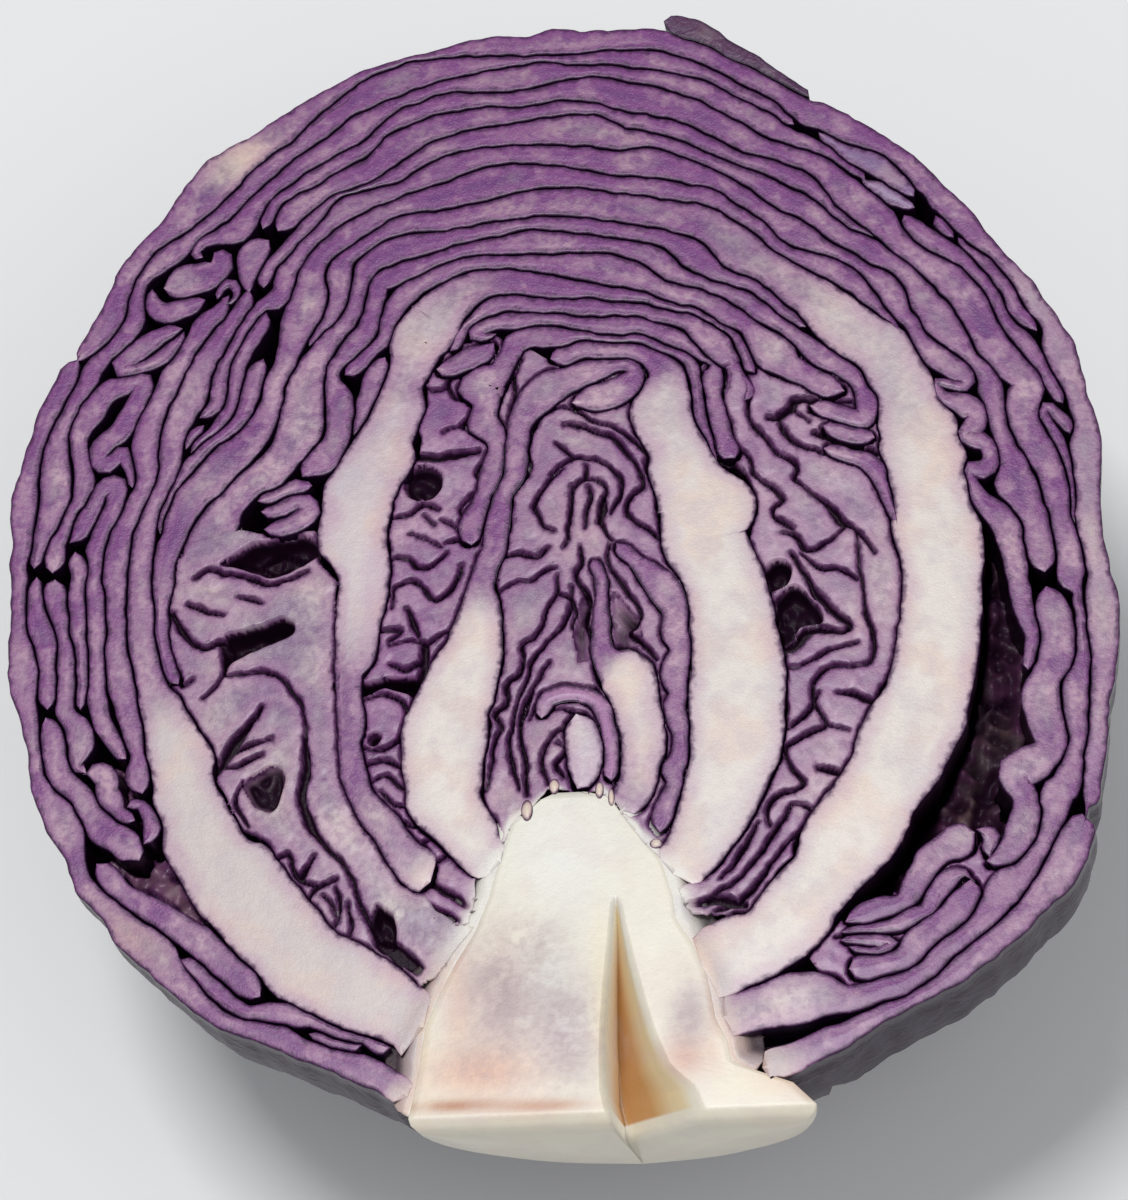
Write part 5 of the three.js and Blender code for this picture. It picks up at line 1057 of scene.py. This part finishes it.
quilt("heart_folds", ["heart_leaf_3", "heart_leaf_2"],
      "-9.5,37.5 -6,39 -2,36 3,36.3 9,35.5 12,34 11,29 11.5,23 13,18.5 14.1,13 15,8 16.3,4 17.5,-4 "
      "17.6,-8 17.2,-18 16.8,-27 14.2,-34 13.3,-38 9,-33 5,-28 -2,-27 -7,-32 -8.5,-35.5 -11.5,-28 "
      "-11.8,-20 -9.8,-8 -9.5,1 -8.8,8 -9.5,14 -8,19 -9,25 -10.2,30",
      ["0,29 -2.5,28.5 -3.7,27.3 -4.3,25.5 -5.2,23.5 -5,21.5 -4.7,20.5 -5.3,18.8 -6.5,17.3 -7.8,15.7 "
       "-8,14.5 -7.7,12 -8.8,8",
       "0,28.8 1.5,28.2 3.5,26.8 6,25.8 7.5,24.8 9,23.5 10.5,22.2 12,21",
       "0,26.3 2.5,25.7 5,24.7 7,23.5 8.5,21.5 10,19.8 10.9,18.5 10.9,16 9.5,15 8.6,13.7 8.7,12.3 "
       "10,10.8 11.5,10 13,8.5",
       "-1.5,23.5 0,22.5 1.5,21", "4,21 7.8,18 8.2,16.8 7.5,14.5 6.3,12.5",
       "-2,18.8 0,20.3 1.5,21 4,20.8", "1,17 1,14 .5,10 0,8", "3,20 3,18 2,17.5 1,16",
       "3.2,17 3.7,15 3,13 2.8,10.5", "3,18 5,17.3 6,16 5.3,14 4.8,12 5.5,10.3 7,8.5",
       "5.5,15,.2 5.2,13,.5 4.7,11.5,.2", "0,19.5 -2,18 -3.3,16 -4.2,14 -3.5,12.5 -2.8,11 -1.5,10.2",
       "-8.8,6.5 -6.5,7.5 -4,6.5 -2,8", "-9,1.5 -7,3 -4.5,3 -2.5,4.5 -1,5",
       "2,8 2.5,5.5 1.5,3.5 2.5,1.5 3.5,-.5 3,-3 4,-6", "6.5,8 6,5.5 7,3.5",
       "-1,1 .5,.5 1.5,-1.5 1,-4", "6.5,4 8,1.5 9.5,-.5 10.5,-3 9,-5 11,-7 12.5,-9.5",
       "-4.5,-17 -3,-13.5 -2,-13 0,-12.7 1,-13.5 2.5,-14 4.5,-13 5,-14 6,-16 6.7,-19 7.3,-22 7.5,-24.5 "
       "6.8,-27",
       "-2,-9 -4,-12 -4.8,-14 -6,-16.5 -6.2,-19 -5.5,-22 -5,-25 -5,-28", "5,-9 5.5,-5 5,-2 5,3 4,6",
       "-.8,4 -1,1 -2.2,-1 -3,-3.5 -4,-5 -6,-6.3 -5.7,-8.5 -6.5,-10.5 -8,-12 -7.8,-14.5 -9.3,-16 "
       "-8.8,-18 -9.5,-19.7 -10,-24 -10.8,-27",
       "1,2 .5,-2 -.5,-4 -3,-7 -4.5,-9 -5.5,-12 -6.5,-15 -7.3,-18 -7.7,-21 -6.8,-24 -5.8,-27",
       "-3.2,-17 -1,-15.8 1,-16.3 1.8,-17.3 .3,-18.3 -1.2,-19.3 -2.6,-21 -3.1,-24 -2,-26.5",
       "-1.2,-20.5 .3,-21.2 -.4,-22.6 -1.2,-24 -.2,-25.5",
       "-4,-12 -4.8,-15 -5.8,-17.5 -5.8,-20.5 -5,-24 -4.8,-27", "-7.6,28 -6.8,31 -7.2,34 -6,36.5"],
      [("1.5,-9.5 3.5,-9 4.6,-6.5 4.5,-2.5 3,1.5 1.8,-1 1,-4.5", 1.3),
       ("6,-6.5 8.5,-8 10.8,-7 11,-4 9,-1.5 7,1 6,-2", 1.2)],
      tone=(0.48, 0.39, 0.43), stain=0.5, grain=0.24)
quilt("right_pocket_folds", ["head_leaf_10"],
      "19.5,34 26,33 31,36 36,32 40,30 44,24 45,16 46,8 46.8,0 45.5,-10 42.5,-19 38.5,-28 34,-33.5 "
      "28,-41 24,-46 17,-45.5 15,-42 21,-38 24.5,-31 27.3,-25 28.2,-14 27,-4 25,4 24.8,13 21.5,19.5 "
      "20,27",
      [R2_OUTER, R2_INNER, "37.8,19.9 42.1,16.3 44.8,11.3", "33.5,-33 30,-36 27,-40 24,-43.5 20,-45.5",
       "30.5,-31 28,-35 25,-39 22,-42 18.5,-44",
       "28.3,25.6,.2 29.8,25.4,.4 30.5,26,.4 31.5,26.7,.4 32,27.8,.4 34,28,.3 37,27.6,.3 40,27.2,.1",
       "31.8,26.5 34,24.7", "30,25 30.3,23.5 31.5,21.8 33.5,20.6 36,19.8 38,19 40,17.8",
       "34.5,22.8,.2 37,21.8,.4 40,20.5,.4 44.5,19,.2", "34,26.2 36.5,25 40,24",
       "36,12.5 37,11.5 37.8,10 38.5,9.2 40,8 41.5,6.3 42.7,4.8",
       "30,8.5 31.5,8 33.5,5.5 36,6.5 38.5,8.5", "32.5,5 35,3 38,2.5 40,.5",
       "31,5,.1 34,0,.3 37,-4,.3 39,-6,.2 37,-6.5,.3 34,-6,.5 31,-8.5,.6 28.5,-9,.4",
       "28.5,-11 32,-11.3 36,-9.3 40,-8.3", "28.5,-20.5 31,-19.7 33,-18 34.5,-15",
       "38,-11.7 35.5,-12 33.7,-14 34,-16.5 35,-19 35.3,-20 33,-21 31.5,-22 29.8,-23 30.5,-25.5 "
       "32.3,-27.8 31.5,-28.8 29,-29.5 27.3,-31 27,-32.5 27.7,-34",
       "40,8 41,-3 42,-7 41.5,-11 38,-11.8", "37,-15,.1 39.5,-15.8,.3 42,-17,.2",
       "34,-25.5,.1 36,-26.3,.3 38,-27.5,.2", "35.5,-20 38.5,-20.8", "36,-26 38,-27",
       "30.5,-31 33,-31.5 34,-33", "17,-44.3,.3 20.5,-44,.5 24,-44.5,.3", "26,-33 24,-37 21,-41"],
      [("28.5,-1.5 31,.5 34,-1.5 35.5,-5 33,-5.5 30.5,-8 28.5,-8.3", 4),
       ("28.8,-13 30,-12.6 30.6,-15 30.3,-19.5 28.9,-20", 1.5),
       ("27,3 29,4.5 31,3.2 30.5,.5 28,-.5", 4)],
      tone=(0.56, 0.45, 0.50), stain=0.45, skip=(("head_leaf_13", 0),))
# Near black: the dark skin of the folds deep in the cavity, with painted shade of the deep hole in its
# tone.
quilt("right_cavity_folds_in_shade", ["head_leaf_05"],
      "55.8,14 58,16.5 60,15 61.5,9 62.3,2 62.5,-6 63.5,-12 62,-17 62.5,-22 59,-25.5 57,-28 59,-33 "
      "56,-36 52,-34.5 47,-38.5 44.5,-44 38,-46 33,-50 22,-56 26,-55 33,-49 42.5,-38 49.5,-26 53,-16 "
      "55,-2 55.3,8",
      ["57,1 60,-1 62,0", "54.5,-13 57,-15 60,-14"], base=-9.5, bumps=1.3, groove=1.5, grain=0.5,
      tone=(0.08, 0.03, 0.05), stain=0.1)
quilt("lower_right_folds", ["head_leaf_04"],
      "35,-48.5 39,-45.5 44,-44 48,-39 52,-36 57,-37 58,-41 55.5,-43.5 54.8,-46 52.5,-48.5 49.5,-51 "
      "47.5,-53.3 44,-55 40,-56 36,-56.5 34,-55.5 32.5,-52",
      ["36,-49.2 40,-49.2 44,-50.2", "52.3,-43.5 52,-45 50.5,-46.5 48,-48 46,-49.3 44.8,-50"],
      base=-0.5)
# Near black: painted shade of the hole at the lower left, over the dark skin of the leaves in it.
quilt("lower_left_void_in_shade", ["lower_left_leaf"],
      "-63,-20 -60,-20 -58,-25 -57.5,-33 -53,-34 -48,-42 -41,-52 -45,-48 -52,-43 -57,-40 -63,-33.5 "
      "-60,-31 -57,-33",
      ["-58,-37 -54,-40.5 -50,-43", "-55,-35 -52,-38 -48,-43"], base=-4.5, bumps=0.8, groove=1.5,
      grain=0.4, tone=(0.05, 0.03, 0.05), stain=0.1)

# ---------------------------------------------------------------- core
# The solid stem runs up into the head. Its cut end shows at the bottom, split by one deep crack
# that opened as the end dried. The leaves' feet spread over its edges, where they grow out of it.
def width_at(y, text):
    """A width at each place along the stem, read off points of (mm below the middle of the cut,
    width)."""
    down, width = points(text).T
    return np.interp(-y, down, width)


def core_grid():
    """The core as a half-round bar: rows go down from the growing tip to the cut end, columns go
    over the cut face and back round underneath."""
    y = np.concatenate([np.linspace(-27.8, -32, 6), np.linspace(-33.3, -69, 44),
                        np.linspace(-69.4, -72, 8)])
    left = width_at(y, "27.5,-.5 28.5,-3 32,-7 38,-9 42,-10 47,-12 51,-14.5 56,-17 60,-18.5 "
                       "65,-19.2 69.5,-20 72,-20.6")
    right = width_at(y, "27.5,1.5 28.5,6 33,9 38,13 43,14.5 46,14.8 49.5,17 53,18.5 56,19.3 60,20 "
                        "63,21.5 66,22 69,30 72,33")
    deep = width_at(y, "27.5,1 31.5,6.5 37,10 46,14 55,18 63,23 72,28")
    crack_left = width_at(y, "42.5,6.8 46,6.5 50,6.2 55,5.8 60,5.5 65,5.4 69,5.5 72,6.2")
    crack_right = width_at(y, "42.5,6.9 47,7.6 52,8.6 57,9.9 62,11.4 66,13.2 69,16 72,17")
    crack_left = np.minimum(crack_left, left + 0.7 * (right - left))
    crack_right = np.minimum(crack_right, left + 0.8 * (right - left))
    open_by = np.clip((-y - 43.5) / 20, 0, 1)**0.7 * 12
    face, wall = np.zeros(len(y)), crack_left + 0.25
    edge_drop = 0.02
    places = []
    for share in np.concatenate([[0, 0.004], np.linspace(0.04, 1, 25)]):
        places.append((left + (crack_left - left) * share, face - edge_drop * (share == 0)))
    places.append((wall, -open_by))
    for share in np.linspace(0, 1, 8)[1:]:
        places.append((wall + (crack_right - crack_left) * share, -open_by * (1 - share)**1.1))
    for share in np.append(np.linspace(0.12, 0.9, 7), [0.99, 1]):
        places.append((crack_right + (right - crack_right) * share, face - edge_drop * (share == 1)))
    middle, half = (left + right) / 2, (right - left) / 2
    for angle in np.linspace(0, math.pi, 26)[1:-1]:
        places.append((middle + half * np.cos(angle), -0.3 - deep * np.sin(angle)))
    grid = np.stack([np.column_stack([x, y, z]) for x, z in places], 1)
    near_end = np.clip((-grid[..., 1] - 50) / 22, 0, 1)
    grid[..., 1] += 0.08 * np.abs(grid[..., 2]) * near_end
    first = grid[:1].mean(1, keepdims=True) * np.ones_like(grid[:1])
    last = np.array([8, -72.3, -19]) * np.ones_like(grid[-1:])
    slab = [grid[-1:] * (1 - k) + last * k - np.array([0, 1, 0]) * drop for k, drop in
            ((0.01, 0.9), (0.04, 1.6), (0.2, 1.9), (0.5, 1.9), (1, 1.9))]
    return np.concatenate([first, grid] + slab)


# The columns of the core's grid from here on lie underneath, and the rows at the cut end.
UNDERNEATH, CUT_END = 48, 58
IVORY = (.77, .72, .59)
# Soft patches of colour: across, towards the crown, wide, tall, red, green, blue, strength.
PATCHES = (
    (0, -36, 9, 10, .78, .77, .72, .9), (-9, -57, 5, 9, .54, .39, .38, .8),
    (-11, -66, 8, 3.5, .76, .42, .27, .9), (-14, -58, 2, 6, .68, .43, .33, .6),
    (0, -61, 5, 6, .50, .41, .44, .8), (-2, -53, 4, 5, .54, .52, .52, .6),
    (-14.5, -48, 1.6, 9, .74, .46, .36, .6), (16.5, -59, 2.3, 5, .52, .42, .43, .8),
    (16, -65, 3, 3, .64, .34, .24, .95), (-14, -70.5, 7, .9, .42, .15, .04, 1),
    (-3, -70.9, 6, .9, .44, .16, .05, .95), (28, -68.5, 5, 2, .66, .38, .22, .7),
    (33, -70, 2, 1.5, .40, .17, .08, .8), (4.9, -58, 1.3, 12, .80, .66, .36, .5),
    (-18.5, -61, .8, 12, .80, .66, .46, .7), (19.8, -58, .8, 9, .64, .38, .28, .7),
    (12.5, -48, 3, 5, .80, .76, .66, .5), (24, -69, 5, 1.5, .80, .74, .58, .6))
BRUISES = ((-9, -56, 5, 8, .6), (0, -61, 5, 7, .7), (16.5, -60, 2.5, 5, .6), (-4, -49, 4, 4, .4),
           (-12, -66, 6, 3, .3))


def core_look(grid):
    """Ivory flesh with soft pinkish and brown patches, and rust where the crack's wall has dried."""
    across, up, height = np.moveaxis(grid, -1, 0)
    shape = across.shape

    def patch(x, y, wide, tall):
        return np.exp(-((across - x) / wide)**2 - ((up - y) / tall)**2)

    tone = np.ones(shape + (3,)) * np.array(IVORY)
    for x, y, wide, tall, red, green, blue, strength in PATCHES:
        share = patch(x, y, wide, tall)[..., None] * strength
        share[height < -0.9] = 0
        tone = tone * (1 - share) + np.array([red, green, blue]) * share
    sunk = eased(0.2, 1.5, -height) * (across < 17) * (across > 4)
    sunk[:, UNDERNEATH:] = 0
    sunk[CUT_END:] = 0
    sunk = sunk[..., None]
    far = eased(2, 7, -height)[..., None]
    dried = np.array([.76, .60, .34]) * (1 - far) + np.array([.50, .22, .03]) * far
    tone = tone * (1 - sunk * 0.9) + dried * sunk * 0.9
    bruise = sum(strength * patch(x, y, wide, tall) for x, y, wide, tall, strength in BRUISES)
    return dict(Tone=np.concatenate([tone, np.ones(shape + (1,))], -1), Skin=np.full(shape, 4.0),
                Deep=np.zeros(shape), Stain=0.02 + 0.8 * bruise * (height > -0.9), Bloom=np.zeros(shape))


core = core_grid()
core_tissue = tissue("core flesh", lumps=0.12, spots=0.35, violet=(0.30, 0.19, 0.21))
mesh_piece("core_stem", [core], [core_look(core)], core_tissue, "core")


def foot_level(flat):
    """Level with the cut at the stem, sinking between the leaves' feet further out."""
    gap = off_line(flat, thin(CORE_RIM))[0]
    between_feet = eased(0.3, 1.5, gap * inside(flat, CORE_RIM))
    return -0.05 - 1.6 * eased(1.0, 3.4, off_core(flat)) - 1.5 * between_feet


for side, outline in (
        ("left", "-20.3,-71.6 -22.3,-70.6 -24.3,-66.5 -24,-62 -23,-56 -22,-53 -18.8,-50 -16.5,-46 "
                 "-15,-42 -13.5,-38.5 -12,-35.5 -10,-32 -7.5,-30 -5,-31.5 -8,-46 -12,-60 -16,-71.6"),
        ("right", "7,-29.5 9.5,-30 12,-32 14.5,-35 17.2,-39 18.5,-43 20.8,-47.8 23,-52 23.8,-57 "
                  "26,-62.5 26,-66 24,-68.5 22,-69 18,-66 14,-50 9,-36")):
    quilt("leaf_feet_" + side, ["core"], outline, [], base=foot_level, bumps=0.01, tone=foot_tone,
          stain=0.1, skip="all")


def plain(grid, colour, bloom=0.0):
    """The same look over a whole grid, with no skin near and no stain."""
    shape = grid.shape[:2]
    return dict(Tone=np.ones(shape + (4,)) * np.array(colour + (1,)), Skin=np.full(shape, 2.0),
                Deep=np.zeros(shape), Stain=np.zeros(shape), Bloom=np.full(shape, bloom))


def bud_foot(x, y, wide, tall):
    """A low oval dome: rings from its middle out to its rim, where a thin brown skin shows."""
    ring, angle = np.meshgrid(np.append(np.linspace(0, 1, 9), 1.0),
                              np.linspace(0, 2 * math.pi, 25)[:-1], indexing="ij")
    height = 0.05 + 0.2 * np.sqrt(np.clip(1 - ring**2, 0, 1))
    height[-1] = -0.5
    grid = np.stack([x + wide * ring * np.cos(angle), y + tall * ring * np.sin(angle), height], -1)
    look = plain(grid, (.80, .70, .50))
    look["Skin"] = 0.03 + 2.2 * (1 - ring)
    return grid, look


bud_places = ((-5.0, -30.1, .8, 1.5), (-1.3, -26.9, .7, 1.1), (4.8, -27.7, .6, 1.2),
              (6.4, -28.8, .45, 1.2), (12.4, -35.6, .9, .7))
bud_grids, bud_looks = zip(*(bud_foot(*place) for place in bud_places))
mesh_piece("bud_feet", bud_grids, bud_looks, leaf_tissue, "core")

# ---------------------------------------------------------------- the round back
# Below the rim the crown leaf goes on as the whole underside of the head, down to the stem. Its
# waxy skin has a grey bloom, and it lies over the edges of the other wrapper leaves.
STEM_BEARING = math.radians(-88)


def back_grid():
    """A bowl from latitude 44 down to 90 degrees and back up inside, that also climbs to latitude 3
    between the feet of the wrapper leaves, where it closes round the stem."""
    bearing = np.linspace(-math.pi, math.pi, 241)[:-1]
    reach = np.interp(bearing, rim_bearing, rim_reach, period=2 * math.pi)
    from_stem = np.degrees(np.abs(bearing - STEM_BEARING))
    foot = eased(40, 24, from_stem)
    high = 44 - 41 * foot + 12 * eased(18, 14, from_stem)
    columns = []
    outer_wall = [(part, 0.99) for part in np.linspace(0, 1, 22)]
    inner_wall = [(part, 0.96) for part in np.linspace(1, 0, 12)]
    for part, tight in outer_wall + inner_wall:
        latitude = np.radians(high + (89.9 - high) * part)
        close = tight - 0.075 * foot * eased(40, 0, np.degrees(latitude))
        flat = HUB + np.column_stack([np.cos(bearing), np.sin(bearing)]) * (reach * close)[:, None]
        columns.append(sink(flat, latitude))
    grid = np.stack(columns, 1)
    return np.concatenate([grid, grid[:1]])


back = back_grid()
mesh_piece("crown_leaf_back", [back], [plain(back, (.10, .08, .11), bloom=1.0)], leaf_tissue,
           "top_wrapper_leaf")

# ---------------------------------------------------------------- floor, light and camera
# A sheet of pale matt paper under the head, one large soft lamp from the upper left, a weak fill
# from the lower right, and a camera that looks down on the cut.
floor_mesh = bpy.data.meshes.new("floor")
floor_mesh.from_pydata([(-6, -6, 0), (6, -6, 0), (6, 6, 0), (-6, 6, 0)], [], [(0, 1, 2, 3)])
floor = bpy.data.objects.new("floor", floor_mesh)
bpy.context.collection.objects.link(floor)
paper = bpy.data.materials.new("pale paper")
paper.use_nodes = True
matt = paper.node_tree.nodes["Principled BSDF"]
matt.inputs["Base Color"].default_value = (0.90, 0.90, 0.90, 1)
matt.inputs["Roughness"].default_value = 0.9
matt.inputs["Specular IOR Level"].default_value = 0.1
floor_mesh.materials.append(paper)

world = bpy.data.worlds.new("room")
bpy.context.scene.world = world
world.use_nodes = True
surround = world.node_tree.nodes["Background"]
surround.inputs["Color"].default_value = (0.9, 0.92, 0.95, 1)
surround.inputs["Strength"].default_value = 0.38


def softbox(name, place, size, power, target=(0, 0, 0.05)):
    """A square lamp of the given size in metres that faces the target."""
    lamp = bpy.data.lights.new(name, "AREA")
    lamp.size = size
    lamp.energy = power
    holder = bpy.data.objects.new(name, lamp)
    bpy.context.collection.objects.link(holder)
    holder.location = place
    holder.rotation_euler = (Vector(target) - Vector(place)).to_track_quat("-Z", "Y").to_euler()


softbox("key softbox", (-0.11, 0.16, 1.4), 0.3, 9.6)
softbox("fill softbox", (0.5, -0.4, 1.2), 0.7, 2.1)

# The camera stands off the middle of the cut, leaning to the right and towards the stem's end.
CAMERA_REACH = 0.6
LEAN_RIGHT, LEAN_DOWN = math.radians(8), math.radians(22)
toward = Vector((math.tan(LEAN_RIGHT), -math.tan(LEAN_DOWN), 1)).normalized()
up = (Vector((0, 1, 0)) - toward * toward.y).normalized()
right = up.cross(toward)
target = Vector(FACE_CENTRE) * MM
camera_data = bpy.data.cameras.new("camera")
camera_data.lens = 132
camera_data.sensor_width = 36
camera = bpy.data.objects.new("camera", camera_data)
bpy.context.collection.objects.link(camera)
turn = Matrix((right, up, toward)).transposed()
camera.matrix_world = Matrix.Translation(target + toward * CAMERA_REACH) @ turn.to_4x4()
bpy.context.scene.camera = camera
bpy.context.scene.view_settings.view_transform = "Standard"
